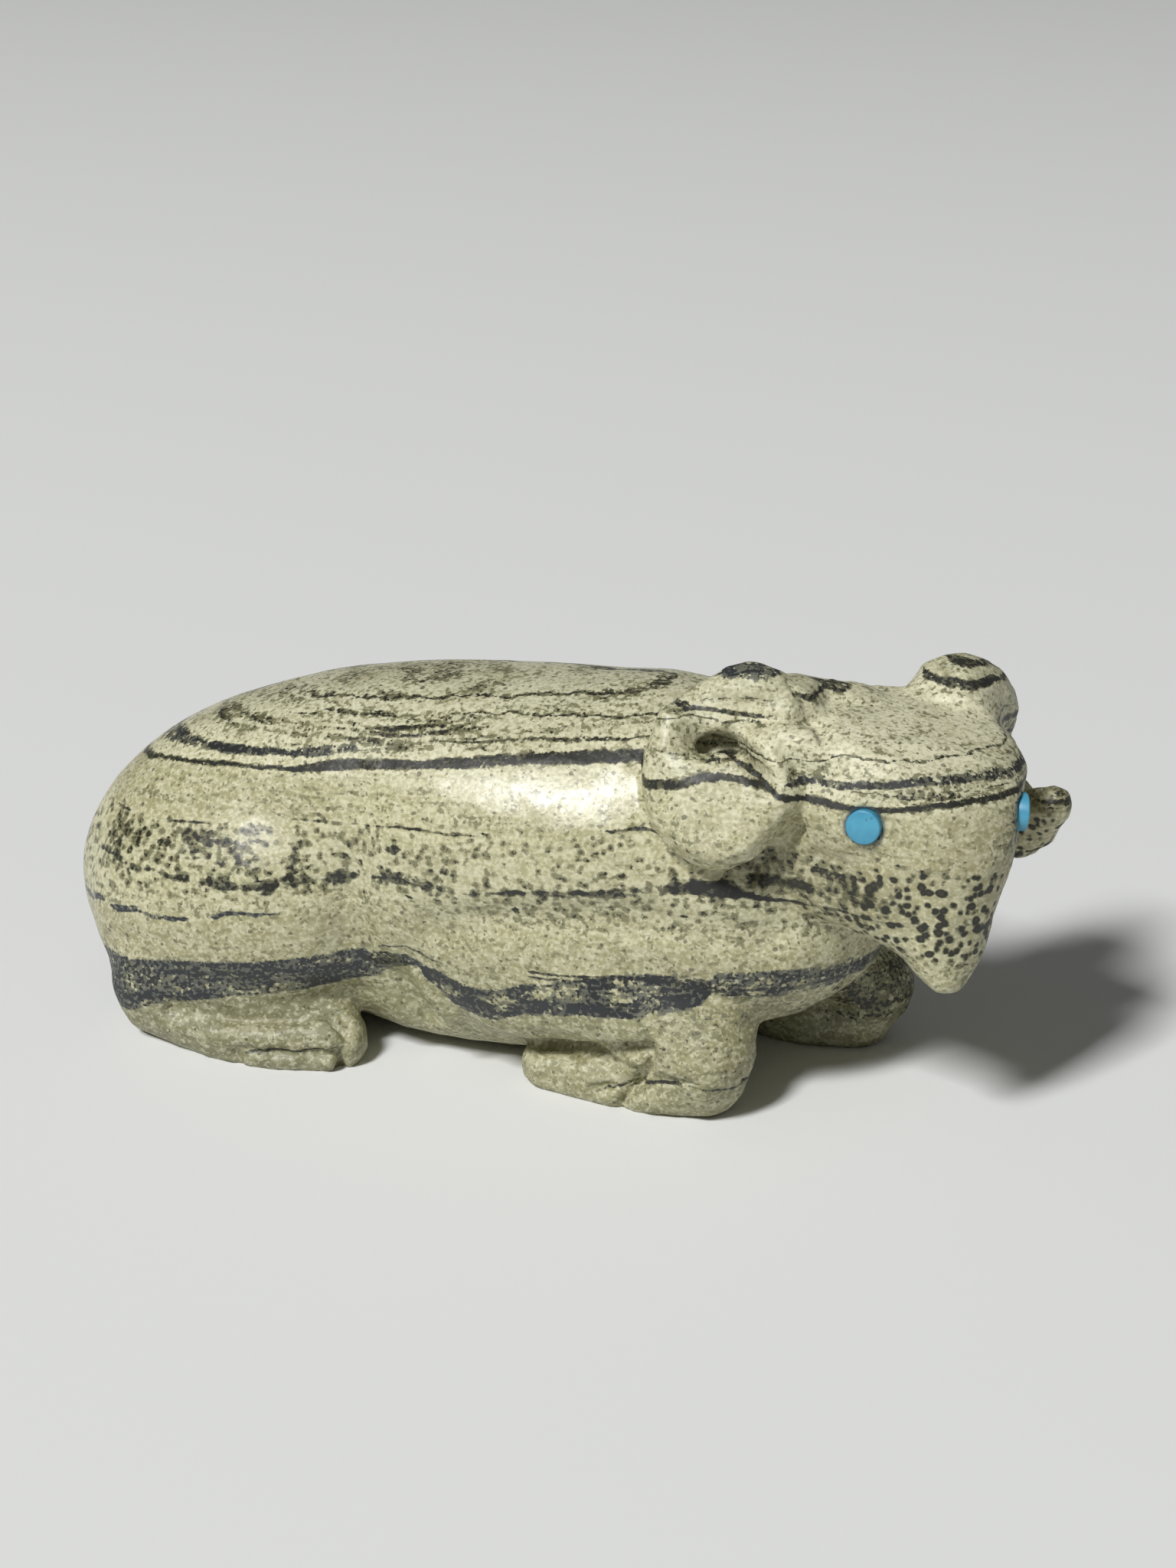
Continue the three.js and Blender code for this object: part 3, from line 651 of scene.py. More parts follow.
# Dark beds: how dark, how blue-grey, how patchy, how soft the edge is in mm, and points
# along the body, each with its height in the beds and half the bed's thickness there. A
# half thickness below 0 is a gap.
DARK_BEDS = (
    # The main bed, thin on the haunch, thick at its front, then over horn and face.
    (0.96, 0.15, 0.2, 0.2, (
        (-28, 10.4, 0.0), (-25, 10.7, 0.04), (-22, 11.12, 0.04), (-20, 11.2, 0.04), (-14, 11.35, 0.06),
        (-12.6, 11.5, 0.17), (-11.5, 11.75, 0.25), (-10, 11.9, 0.24), (-8, 12.0, 0.18), (0, 12.0, 0.17),
        (2, 11.9, 0.18), (6, 11.8, 0.18), (6.3, 11.1, 0.18), (7, 11.2, 0.18), (8, 11.4, 0.18),
        (9, 11.6, 0.17), (10, 11.95, 0.16), (11, 12.1, 0.14), (12, 12.05, 0.12), (13, 11.85, 0.1),
        (14, 11.6, 0.08), (15.5, 11.35, 0.08), (17, 11.4, 0.08), (19, 11.4, 0.08), (21, 11.75, 0.08),
        (22, 11.95, 0.08), (23, 12.0, 0.08), (30, 11.9, 0.08))),
    # The second bed: slate-grey on the haunch, dark over the brow.
    (0.86, 0.55, 0.35, 0.22, (
        (-30, 11.3, 0.0), (-24, 11.6, 0.12), (-22, 11.95, 0.16), (-18, 11.95, 0.16), (-14, 12.1, 0.12),
        (-12, 12.35, 0.2), (-11, 12.55, 0.16), (-10, 12.6, 0.06), (-8.5, 12.6, -0.2), (13, 12.0, -0.2),
        (15, 12.1, 0.14), (17, 12.25, 0.16), (19, 12.6, 0.14), (21, 12.95, 0.14), (22, 13.0, 0.14),
        (24, 12.85, 0.14), (25, 12.7, 0.12), (30, 12.5, 0.08))),
    # Thin lines above them, broken in places.
    (0.7, 0.1, 0.15, 0.12, (
        (-8, 12.95, -0.2), (-6, 12.95, 0.02), (-4, 12.85, 0.03), (0, 12.75, 0.03), (1, 12.65, 0.07),
        (2, 12.6, 0.07), (3, 12.55, 0.05), (6, 12.42, 0.03), (7.5, 12.4, -0.2), (9.5, 12.6, -0.2),
        (10, 12.62, 0.03), (11.5, 12.8, 0.03), (13, 12.7, 0.03), (14.2, 12.4, -0.2), (15, 12.35, 0.0),
        (16, 12.4, 0.0), (18, 12.1, 0.0), (20, 12.2, 0.0), (22, 12.45, 0.0), (25, 12.35, 0.0))),
    (0.7, 0.1, 0.15, 0.11, (
        (-13.5, 14.0, -0.2), (-12.5, 14.0, 0.05), (-9, 14.0, 0.05), (-8, 14.0, -0.1), (-4, 13.95, 0.02),
        (-2, 13.8, 0.03), (0, 13.6, 0.03), (3, 13.4, 0.03), (6.4, 13.25, 0.03), (7.5, 13.2, -0.2),
        (9.5, 12.95, -0.2), (10, 13.0, 0.02), (13, 13.1, 0.02), (15.3, 13.1, 0.02), (16, 13.2, 0.02),
        (16.7, 13.55, 0.02), (18, 13.65, 0.02), (22, 13.65, 0.02), (26, 13.5, 0.0))),
    (0.72, 0.1, 0.15, 0.11, (
        (-17, 14.1, -0.2), (-15, 14.2, 0.02), (-13, 14.4, 0.02), (-11, 14.5, 0.02), (-8, 14.63, 0.02),
        (-4, 14.48, 0.03), (-2, 14.3, 0.03), (0, 14.17, 0.03), (2, 14.07, 0.04), (6, 14.1, 0.04),
        (8.6, 14.5, 0.03), (10.5, 14.11, 0.04), (12.6, 14.27, 0.04), (13.2, 14.4, -0.2))),
    (0.6, 0.3, 0.4, 0.13, (
        (-16, 15.0, -0.2), (-12, 15.1, 0.0), (-8, 15.3, 0.0), (-3, 15.25, 0.0), (2, 14.75, 0.02),
        (6, 14.6, 0.0), (7.5, 14.6, -0.2))),
    # Broken dashes and small clusters on the side.
    (0.75, 0.2, 0.5, 0.09, (
        (-26, 8.7, -0.2), (-25, 8.6, 0.06), (-22, 8.45, 0.06), (-17, 8.5, 0.06), (-16, 8.6, -0.2),
        (-14, 8.75, -0.2), (-13, 8.8, 0.06), (-9, 8.6, 0.06), (-7, 8.7, 0.06), (-2, 8.75, 0.06),
        (0, 8.8, -0.2), (4, 8.9, -0.2), (5, 8.9, 0.06), (7.5, 8.9, 0.06), (9, 8.9, -0.2))),
    (0.85, 0.2, 0.3, 0.12, (
        (-19, 7.55, -0.2), (-18, 7.55, 0.2), (-16.7, 7.55, 0.2), (-16, 7.6, -0.2), (-15.5, 7.65, -0.1),
        (-15, 7.65, 0.15), (-14.4, 7.65, -0.2), (-7.7, 7.4, -0.2), (-7.2, 7.4, 0.25), (-6.8, 7.4, 0.25),
        (-6.2, 7.4, -0.2))),
    # The blotchy row along the middle of the side, and its one solid stretch.
    (0.84, 0.25, 0.4, 0.5, (
        (-26, 6.4, -0.05), (-24, 6.4, 0.05), (-23, 6.1, 0.15), (-21.5, 6.1, 0.15), (-20.5, 5.8, 0.0),
        (-18, 5.5, 0.15), (-16.9, 5.4, 0.3), (-16.3, 5.4, 0.4), (-15.6, 5.3, -0.05), (-14.4, 5.2, 0.35),
        (-13.8, 5.2, 0.35), (-13.3, 5.5, -0.05), (-12.9, 5.6, 0.35), (-12.4, 5.6, 0.35), (-11.7, 5.5, 0.0),
        (-10.8, 5.5, 0.35), (-9.8, 5.5, 0.35), (-9, 5.5, -0.15), (-8, 5.6, -0.05), (-6.8, 5.65, 0.3),
        (-4.8, 5.7, 0.3), (-3.5, 5.65, -0.15), (-2, 5.6, 0.0), (0, 6.0, 0.0), (4, 6.0, 0.1), (8, 6.2, 0.2),
        (9.3, 6.5, 0.3), (11.5, 6.4, 0.3), (12.2, 6.2, 0.05), (13, 6.0, 0.0), (15, 5.95, 0.0),
        (16, 6.1, 0.0), (18, 6.2, 0.0), (20, 6.2, 0.0), (22, 6.3, 0.2), (24, 6.2, 0.2), (27, 6.2, 0.0))),
    (1.0, 0.3, 0.1, 0.2, (
        (8.4, 6.4, -0.2), (9.3, 6.5, 0.3), (11.0, 6.4, 0.32), (12.0, 6.2, 0.1), (13, 6.0, 0.04),
        (15, 5.95, 0.04), (16.5, 6.1, -0.2))),
    # A low slate-grey row at the rump, and three dots.
    (0.85, 0.9, 0.4, 0.14, (
        (-28, 3.4, -0.1), (-26.5, 3.5, 0.22), (-25, 3.9, 0.18), (-24.3, 3.8, -0.1), (-23.5, 3.6, 0.18),
        (-22, 3.8, 0.14), (-21, 3.4, 0.1), (-19, 3.35, 0.08), (-18, 3.4, -0.2), (-17, 3.5, 0.1),
        (-16.5, 3.8, 0.08), (-14, 3.6, 0.06), (-12.5, 3.6, -0.2))),
    (0.9, 0.2, 0.0, 0.1, (
        (-6.5, 4.6, -0.2), (-6, 4.6, 0.15), (-5.5, 4.6, -0.2), (-0.5, 4.95, -0.2), (0, 4.95, 0.15),
        (0.5, 4.95, -0.2), (8.5, 5.0, -0.2), (9, 5.0, 0.15), (9.5, 5.0, -0.2))),
    # The lower bed: broad, grainy and slate-grey on the haunch, with darker lines in it.
    (0.8, 0.85, 0.3, 0.28, (
        (-30, -0.8, 1.5), (-24, -0.78, 1.45), (-23, -0.88, 1.55), (-21, -0.58, 1.25), (-19, -0.48, 1.15),
        (-16, -0.4, 1.08), (-12, -0.38, 1.05), (-9, -0.3, 0.95), (-8, -0.2, 0.75), (-7, -0.1, 0.5),
        (-6.4, 0.0, 0.3), (-5, 0.3, -0.1))),
    (0.9, 0.7, 0.3, 0.12, ((-30, -0.4, 0.08), (-9, -0.35, 0.08), (-7.5, -0.2, -0.2))),
    (0.9, 0.7, 0.4, 0.14, (
        (-30, -1.6, 0.12), (-24, -1.7, 0.12), (-19, -1.35, 0.12), (-12, -1.25, 0.12), (-9, -1.1, 0.1),
        (-8, -0.9, -0.2))),
    (0.7, 0.5, 0.2, 0.09, ((-9, 1.0, -0.2), (-8, 1.0, 0.05), (-4, 0.95, 0.05), (-3, 0.9, -0.2))),
    # Patches on the foreleg and the chest.
    (1.0, 0.7, 0.5, 0.3, (
        (-5.9, 0.0, -0.2), (-5.5, -0.2, 0.4), (-4.5, -0.4, 0.7), (-3, -0.8, 0.85), (-1.6, -0.7, 0.8),
        (0.5, 0.3, 0.75), (4, 0.9, 0.85), (6, 1.0, 0.85), (8, 1.3, 0.8), (10, 1.5, 0.7), (11, 1.8, -0.2))),
    (0.76, 0.9, 0.35, 0.3, (
        (9.5, 1.7, -0.2), (11, 1.8, 0.65), (14, 1.9, 0.65), (17, 1.9, 0.5), (20, 1.8, 0.2), (30, 1.8, 0.1))),
    (0.95, 0.7, 0.3, 0.12, ((11, 1.6, -0.2), (12, 1.6, 0.08), (16, 1.7, 0.08), (18, 1.7, -0.2))),
    (0.7, 0.4, 0.3, 0.08, ((0, 1.6, -0.2), (1, 1.6, 0.05), (9, 1.65, 0.05), (10, 1.7, -0.2))),
    (0.7, 0.4, 0.3, 0.08, ((0, 1.85, -0.2), (1, 1.85, 0.05), (9, 1.9, 0.05), (10, 1.9, -0.2))),
    # Thin lines over the hooves.
    (0.9, 0.2, 0.5, 0.12, (
        (-16, -4.9, -0.2), (-15.4, -4.7, 0.06), (-14, -4.7, 0.06), (-12, -4.85, 0.06), (-10.4, -5.0, 0.04),
        (-10, -5, -0.2), (3.5, -4.6, -0.2), (3.9, -4.5, 0.05), (6.6, -3.5, 0.06), (9.7, -2.7, 0.05),
        (12.4, -2.9, 0.05), (13, -2.9, -0.2))),
    # The near horn's top with the crest and the far horn, the far horn's second line, and
    # two rows in the near horn's cap.
    (0.85, 0.3, 0.3, 0.14, (
        (7, 14.8, -0.2), (8, 14.86, 0.08), (9.8, 14.76, 0.1), (11.7, 14.39, 0.1), (12.8, 14.7, 0.08),
        (13.1, 14.8, -0.2), (13.5, 15.8, -0.2), (13.7, 15.7, 0.06), (14.1, 15.46, 0.08), (15.5, 15.18, 0.05),
        (16.5, 15.1, -0.2), (18.2, 15.1, -0.2), (18.9, 15.2, 0.12), (20.7, 15.25, 0.14), (23.0, 15.1, 0.12),
        (24, 15.0, -0.2))),
    (0.75, 0.2, 0.3, 0.14, (
        (18.2, 15.9, -0.2), (18.9, 15.95, 0.08), (21, 15.9, 0.08), (23.5, 15.7, 0.06), (24, 15.7, -0.2))),
    (0.6, 0.5, 0.3, 0.12, ((8.5, 15.2, -0.2), (9, 15.2, 0.02), (13, 15.4, 0.02), (13.5, 15.4, -0.2))),
    (0.82, 0.8, 0.35, 0.3, ((8.6, 16.4, -0.2), (9.2, 16.45, 0.2), (12.6, 16.55, 0.2), (13.3, 16.5, -0.2))),
)

# How thickly single dark grains are strewn through the beds, from none to solid.
STREWN = (
    (-3, 0.24), (0.8, 0.3), (1.4, 0.18), (3.3, 0.2), (4.2, 0.3), (5.0, 0.36), (6.6, 0.38), (7.8, 0.32),
    (8.6, 0.22), (10.5, 0.2), (11.2, 0.12), (12.3, 0.18), (12.6, 0.27), (14.1, 0.27), (14.3, 0.18),
    (14.7, 0.27), (18, 0.27))

# Places where more or fewer are strewn: middle and half-size along the body and through
# the beds, and the share of the stone they take up.
# Two of these places are partly painted shade, as marked at each.
SPECKLED_AND_PAINTED_SHADE = (
    (-12.0, 9.0, 13.3, 0.7, 0.38),
    (-12.0, 9.0, 16.6, 1.9, 0.31),
    (17.0, 8.0, 15.6, 2.4, 0.2),
    # The cheek under the near horn: its dark speckle, thickened as painted shade.
    (16.0, 4.0, 7.4, 0.9, 0.6),
    (22.3, 2.6, 7.2, 1.8, 0.46),
    (-20.0, 5.0, 7.4, 1.0, 0.5),
    # The far horn's tip: its dark olive speckle, thickened as painted shade.
    (27.5, 2.0, 10.8, 1.6, 0.56),
    (17.5, 3.2, -1.6, 1.6, 0.58),
    (19.0, 5.0, 12.2, 0.2, 0.42),
)

# The ground between the grains, through the beds: their own colours, darkened in the lowest beds as painted
# shade of the undersides and lightened in the beds over the back as painted light.
GROUND_WITH_PAINTED_SHADE_AND_LIGHT = (
    (-3, "#8F8E6B"), (0.8, "#989672"), (1.6, "#A19D79"), (3.2, "#A39F7B"), (4.2, "#B8B591"),
    (6.5, "#BEBB97"), (8.5, "#BAB692"), (10.6, "#B5B18C"), (11.3, "#C6C3A2"), (12.4, "#CAC7A8"),
    (12.9, "#BDBB9C"), (14.3, "#C9C7A9"), (15.0, "#BAB898"), (18, "#B8B696"))

# Places of another colour: middle and half-size along the body and through the beds, the
# colour, and how much of it.
# Some of these places are painted shade and one is painted light, as marked at each.
TINTS_AND_PAINTED_SHADE_AND_LIGHT = (
    # Painted shade on the hind foot's underside, over its own darker, greener tone.
    (-19.0, 8.0, -4.4, 3.0, "#68684C", 0.85),
    (-19.0, 8.0, 9.8, 1.1, "#8F8A62", 0.5),
    (20.0, 6.0, 8.5, 3.0, "#8F8861", 0.45),
    # Painted shade on the plain pale flat under the chest.
    (13.5, 2.5, -0.5, 1.4, "#8A8660", 0.6),
    # The far foreleg under the chest: its own dark brown-olive, deepened as painted shade.
    (17.0, 4.0, -2.4, 2.4, "#5A5840", 0.5),
    # Painted shade over the far horn's dark tip.
    (27.5, 2.0, 10.8, 2.0, "#6A6748", 0.6),
    # Painted light: the forehead made paler where it faces up.
    (17.0, 7.0, 14.0, 1.1, "#DEDABC", 0.65),
    # Painted shade on the cheek under the near horn.
    (16.0, 4.5, 7.4, 1.2, "#75714F", 0.55),
    # Painted shade on the lower parts of the forelegs.
    (5.0, 7.0, -4.0, 2.6, "#8B8762", 0.45),
)

# What clouds and mottles the ground: a noise, its values where the colour begins and where
# it is full, how much of the colour there is then, and the colour.
MOTTLES = (
    ("cloud", 0.5, 0.9, 0.35, "#978D62"),
    ("layers", 0.5, 0.95, 0.4, "#87845F"),
    ("fine_grain", 0.55, 0.25, 0.45, "#86825D"),
    ("mottle", 0.35, 0.85, 0.42, "#D0CDB0"),
    ("fine_grain", 0.55, 0.8, 0.42, "#DBD7BB"),
)

# Noises that colour the stone: size of a patch in mm, how far it is drawn out along the
# beds, how many finer layers it has, and a place of its own.
NOISES = {
    "broad": (7.0, 1.6, 1.0, 3.0),
    "cloud": (2.4, 1.8, 3.0, 21.0),
    "patch": (1.3, 1.6, 2.0, 13.0),
    "mottle": (0.45, 1.8, 2.0, 31.0),
    "ragged": (0.55, 1.6, 3.0, 7.0),
    "grain": (0.30, 1.15, 2.0, 11.0),
    "fine_grain": (0.21, 1.1, 1.0, 5.0),
    "layers": (0.24, 16.0, 2.0, 71.0),
    "scuff": (0.35, 1.0, 3.0, 41.0),
}

# How far apart the coarse round grains of the muzzle and the middle row lie, in mm, and
# the volume of a ball with a radius of 1.
GRAIN_SPACING = 0.48
BALL = 4.19


def share_of(value, whole):
    """Where a value lies in a range, from 0 to 1."""
    return (value - whole[0]) / (whole[1] - whole[0])


def stone_noise(add, place, name):
    """A noise of the stone, spread to run from about 0 to 1."""
    size, drawn, layers, offset = NOISES[name]
    scale = (1 / (size * drawn), 1 / (size * drawn), 1 / size)
    moved = add("VectorMath", (place, scale, (offset, offset, offset)), operation="MULTIPLY_ADD")
    raw = add("TexNoise", {"Vector": moved, "Scale": 1.0, "Detail": layers, "Roughness": 0.55})
    return add("MapRange", (raw, 0.28, 0.72))


def round_grains(add, place, noises):
    """From 0 at the middle of each scattered round grain to 1 far from all of them, spread
    so that the part of the stone below a value is about that value."""
    shifted = add("Math", (noises["ragged"], 0.5, -0.2), operation="MULTIPLY_ADD")
    scattered = add("TexVoronoi", {"Vector": place, "Scale": 1 / GRAIN_SPACING, "Randomness": 1.0})
    away = add("Math", (scattered, shifted), operation="ADD")
    away = add("Math", (away, 0.0), operation="MAXIMUM")
    cubed = add("Math", (away, 3.0), operation="POWER")
    scaled = add("Math", (cubed, -BALL), operation="MULTIPLY")
    free = add("Math", (scaled,), operation="EXPONENT")
    return add("Math", (1.0, free), operation="SUBTRACT")


def height_in_beds(add, axes, noises):
    """How far along the body a point is, as a share, and how far up through the beds, in mm,
    with their ragged edges and, on the far side, their waves."""
    along = add("MapRange", (axes["X"], *ALONG))
    ragged = add("Math", (noises["ragged"], 0.16, -0.08), operation="MULTIPLY_ADD")
    far_side = add("MapRange", (axes["Y"], 4.0, 8.0, 0.0, 1.2))
    wave = add("Math", (noises["broad"], far_side), operation="MULTIPLY")
    level = add("Math", (axes["Z"], ragged), operation="ADD")
    level = add("Math", (level, wave), operation="ADD")
    lower, main = (
        add("FloatCurve", {"Value": along}, points=[
            (share_of(at, ALONG), height / UP_FROM_FLOOR) for at, height in bed])
        for bed in (LOWER_BED, MAIN_BED))
    lower = add("Math", (lower, UP_FROM_FLOOR), operation="MULTIPLY")
    main = add("Math", (main, UP_FROM_FLOOR), operation="MULTIPLY")
    above = add("Math", (level, lower), operation="SUBTRACT")
    whole = add("Math", (main, lower), operation="SUBTRACT")
    share = add("Math", (above, whole), operation="DIVIDE")
    share = add("Math", (share, 1.0), operation="MINIMUM")
    over = add("Math", (level, main), operation="SUBTRACT")
    over = add("Math", (over, 0.0), operation="MAXIMUM")
    return along, add("Math", (share, BETWEEN, over), operation="MULTIPLY_ADD")


def dark_beds(add, along, bed, noises):
    """How much of the stone the dark beds take up at a point, and how blue-grey they are."""
    dark, slate = 0.0, 0.0
    for depth, blue, patchy, soft, points in DARK_BEDS:
        middle = add("FloatCurve", {"Value": along}, points=[
            (share_of(at, ALONG), share_of(height, BED)) for at, height, half in points])
        half = add("FloatCurve", {"Value": along}, points=[
            (share_of(at, ALONG), share_of(half, HALF)) for at, height, half in points])
        middle = add("MapRange", (middle, 0.0, 1.0, *BED))
        half = add("MapRange", (half, 0.0, 1.0, *HALF))
        away = add("Math", (bed, middle), operation="SUBTRACT")
        away = add("Math", (away,), operation="ABSOLUTE")
        beyond = add("Math", (away, half), operation="SUBTRACT")
        taken = add("MapRange", (beyond, soft, -soft * 0.3, 0.0, depth), interpolation_type="SMOOTHSTEP")
        kept = add("MapRange", (noises["patch"], 0.15, 0.6, 1 - patchy, 1.0))
        taken = add("Math", (taken, kept), operation="MULTIPLY")
        streaked = add("MapRange", (noises["layers"], 0.25, 0.65, 1 - patchy * 0.6, 1.0))
        taken = add("Math", (taken, streaked), operation="MULTIPLY")
        dark = add("Math", (dark, taken), operation="MAXIMUM")
        bluer = add("Math", (taken, blue), operation="MULTIPLY")
        slate = add("Math", (slate, bluer), operation="MAXIMUM")
    return dark, slate


def inside_of(add, x, bed, place, soft=1.0, bed_soft=0.3):
    """From 0 outside a place to 1 well inside it; its edges are soft."""
    middle, half, bed_middle, bed_half = place
    from_x = add("Math", (x, middle), operation="SUBTRACT")
    from_x = add("Math", (from_x,), operation="ABSOLUTE")
    from_bed = add("Math", (bed, bed_middle), operation="SUBTRACT")
    from_bed = add("Math", (from_bed,), operation="ABSOLUTE")
    in_x = add("MapRange", (from_x, half + soft, half - soft))
    in_bed = add("MapRange", (from_bed, bed_half + bed_soft, bed_half - bed_soft))
    return add("Math", (in_x, in_bed), operation="MULTIPLY")


def strewn_grains(add, x, bed, noises):
    """How thickly single dark grains lie outside the dark beds, thickened in two places as painted shade."""
    height = add("MapRange", (bed, *BED))
    strewn = add("FloatCurve", {"Value": height}, points=[(share_of(at, BED), to) for at, to in STREWN])
    for *place, share in SPECKLED_AND_PAINTED_SHADE:
        inside = inside_of(add, x, bed, place)
        strewn = add("Mix", {0: inside, 2: strewn, 3: share})
    uneven = add("MapRange", (noises["patch"], 0.1, 0.9, 0.8, 1.2))
    layered = add("MapRange", (noises["layers"], 0.15, 0.85, 0.4, 1.6))
    between = add("MapRange", (bed, 8.5, 9.5, 0.25, 1.0))
    layered = add("Mix", {0: between, 2: 1.0, 3: layered})
    strewn = add("Math", (strewn, uneven), operation="MULTIPLY")
    return add("Math", (strewn, layered), operation="MULTIPLY")


def ground_with_painted_shade_and_light(add, x, bed, noises):
    """The pale stone between the grains: its beds' own colours, clouded and mottled, with painted shade and
    painted light laid into it low down, over the back and in some places.
    """
    waved = add("Math", (noises["cloud"], 0.8, bed), operation="MULTIPLY_ADD")
    height = add("MapRange", (waved, BED[0] + 0.4, BED[1] + 0.4))
    red, green, blue = (
        add("FloatCurve", {"Value": height}, points=[
            (share_of(at, BED), colour(tone)[channel]) for at, tone in GROUND_WITH_PAINTED_SHADE_AND_LIGHT])
        for channel in range(3))
    ground = add("CombineColor", (red, green, blue))
    for *place, tone, share in TINTS_AND_PAINTED_SHADE_AND_LIGHT:
        inside = inside_of(add, x, bed, place)
        tint_painted_shade_and_light = add("Math", (inside, share), operation="MULTIPLY")
        ground = add("Mix", {0: tint_painted_shade_and_light, 6: ground, 7: colour(tone)}, data_type="RGBA")
    for name, begins, full, share, tone in MOTTLES:
        mottled = add("MapRange", (noises[name], begins, full, 0.0, share))
        ground = add("Mix", {0: mottled, 6: ground, 7: colour(tone)}, data_type="RGBA")
    return ground


def near_eyes(add, place):
    """Where the stone is darkened by the setting resin round the eyes."""
    stained = 0.0
    for eye in (EYE_RIGHT, EYE_LEFT):
        from_eye = add("VectorMath", (place, tuple(head_point(*eye["place"]))), operation="SUBTRACT")
        crossed = add("VectorMath", (from_eye, tuple(eye_axis(eye))), operation="CROSS_PRODUCT")
        off_axis = add("VectorMath", (crossed,), operation="LENGTH", out="Value")
        away = add("VectorMath", (from_eye,), operation="LENGTH", out="Value")
        rim = add("MapRange", (off_axis, eye["radius"] + 0.18, eye["radius"] + 0.04, 0.0, 0.7))
        close = add("MapRange", (away, eye["radius"] + 1.2, eye["radius"] + 0.9))
        stain = add("Math", (rim, close), operation="MULTIPLY")
        stained = add("Math", (stained, stain), operation="MAXIMUM")
    return stained


def coarseness(add, x, bed):
    """Where the round grains take the place of the fine ones: in the middle beds, and most
    of all on the muzzle."""
    coarse = add("MapRange", (bed, 9.4, 8.6))
    not_low = add("MapRange", (bed, 4.2, 5.0))
    coarse = add("Math", (coarse, not_low), operation="MULTIPLY")
    muzzle = add("MapRange", (x, 17.0, 20.0, 0.55, 1.0))
    return add("Math", (coarse, muzzle), operation="MULTIPLY")


def grain_cover(add, dark, coarse, dots, noises):
    """Where olive grains lie, which is wherever their noise is below the share that they
    take up, and where blacker ones lie among them."""
    olive_grain = add("Mix", {0: coarse, 2: noises["grain"], 3: dots})
    olive_share = add("Math", (dark, 1.15, 0.02), operation="MULTIPLY_ADD")
    olive_over = add("Math", (olive_share, olive_grain), operation="SUBTRACT")
    black_grain = add("Mix", {0: coarse, 2: noises["fine_grain"], 3: dots})
    black_share = add("Math", (dark, 1.38, -0.4), operation="MULTIPLY_ADD")
    black_on_dots = add("Math", (dark, 0.75), operation="MULTIPLY")
    black_share = add("Mix", {0: coarse, 2: black_share, 3: black_on_dots})
    black_over = add("Math", (black_share, black_grain), operation="SUBTRACT")
    return add("MapRange", (olive_over, -0.1, 0.1)), add("MapRange", (black_over, -0.08, 0.08))


def grain_tones(add, dark, slate):
    """The olive and the blacker grains' colours, deeper where grains crowd and blue-grey in
    the slate beds."""
    deep = add("MapRange", (dark, 0.35, 0.75))
    olive = add("Mix", {0: deep, 6: colour("#7F7D5E"), 7: colour("#4C4930")}, data_type="RGBA")
    olive = add("Mix", {0: slate, 6: olive, 7: colour("#5A5F60")}, data_type="RGBA")
    black = add("Mix", {0: slate, 6: colour("#23231A"), 7: colour("#262B31")}, data_type="RGBA")
    return olive, black


def stone_colour(add, place, x, along, bed, noises):
    """The ground with its painted shade and painted light, its grains, the lone dark specks and the stain
    round the eyes.
    """
    dots = round_grains(add, place, noises)
    banded, slate = dark_beds(add, along, bed, noises)
    strewn = strewn_grains(add, x, bed, noises)
    dark = add("Math", (banded, strewn), operation="MAXIMUM")
    olive, black = grain_cover(add, dark, coarseness(add, x, bed), dots, noises)
    olive_tone, black_tone = grain_tones(add, dark, slate)

    ground = ground_with_painted_shade_and_light(add, x, bed, noises)
    dulled = add("MapRange", (dark, 0.25, 0.8, 0.0, 0.45))
    surface = add("Mix", {0: dulled, 6: ground, 7: colour("#8E8D70")}, data_type="RGBA")
    surface = add("Mix", {0: olive, 6: surface, 7: olive_tone}, data_type="RGBA")
    surface = add("Mix", {0: black, 6: surface, 7: black_tone}, data_type="RGBA")
    lone_grain = add("MapRange", (dots, 0.028, 0.018, 0.0, 0.65))
    surface = add("Mix", {0: lone_grain, 6: surface, 7: colour("#3A3826")}, data_type="RGBA")
    stained = near_eyes(add, place)
    return add("Mix", {0: stained, 6: surface, 7: colour("#56646C")}, data_type="RGBA")


def rubbed_gloss(add, axes, scuff):
    """The body is rubbed to a shine; the head, the horns and the legs are left nearly matt."""
    head_matt = add("MapRange", (axes["X"], 6.0, 10.0, 0.29, 0.52))
    legs_matt = add("MapRange", (axes["Z"], 6.0, 3.5, 0.29, 0.5))
    matt = add("Math", (head_matt, legs_matt), operation="MAXIMUM")
    return add("Math", (scuff, 0.1, matt), operation="MULTIPLY_ADD")


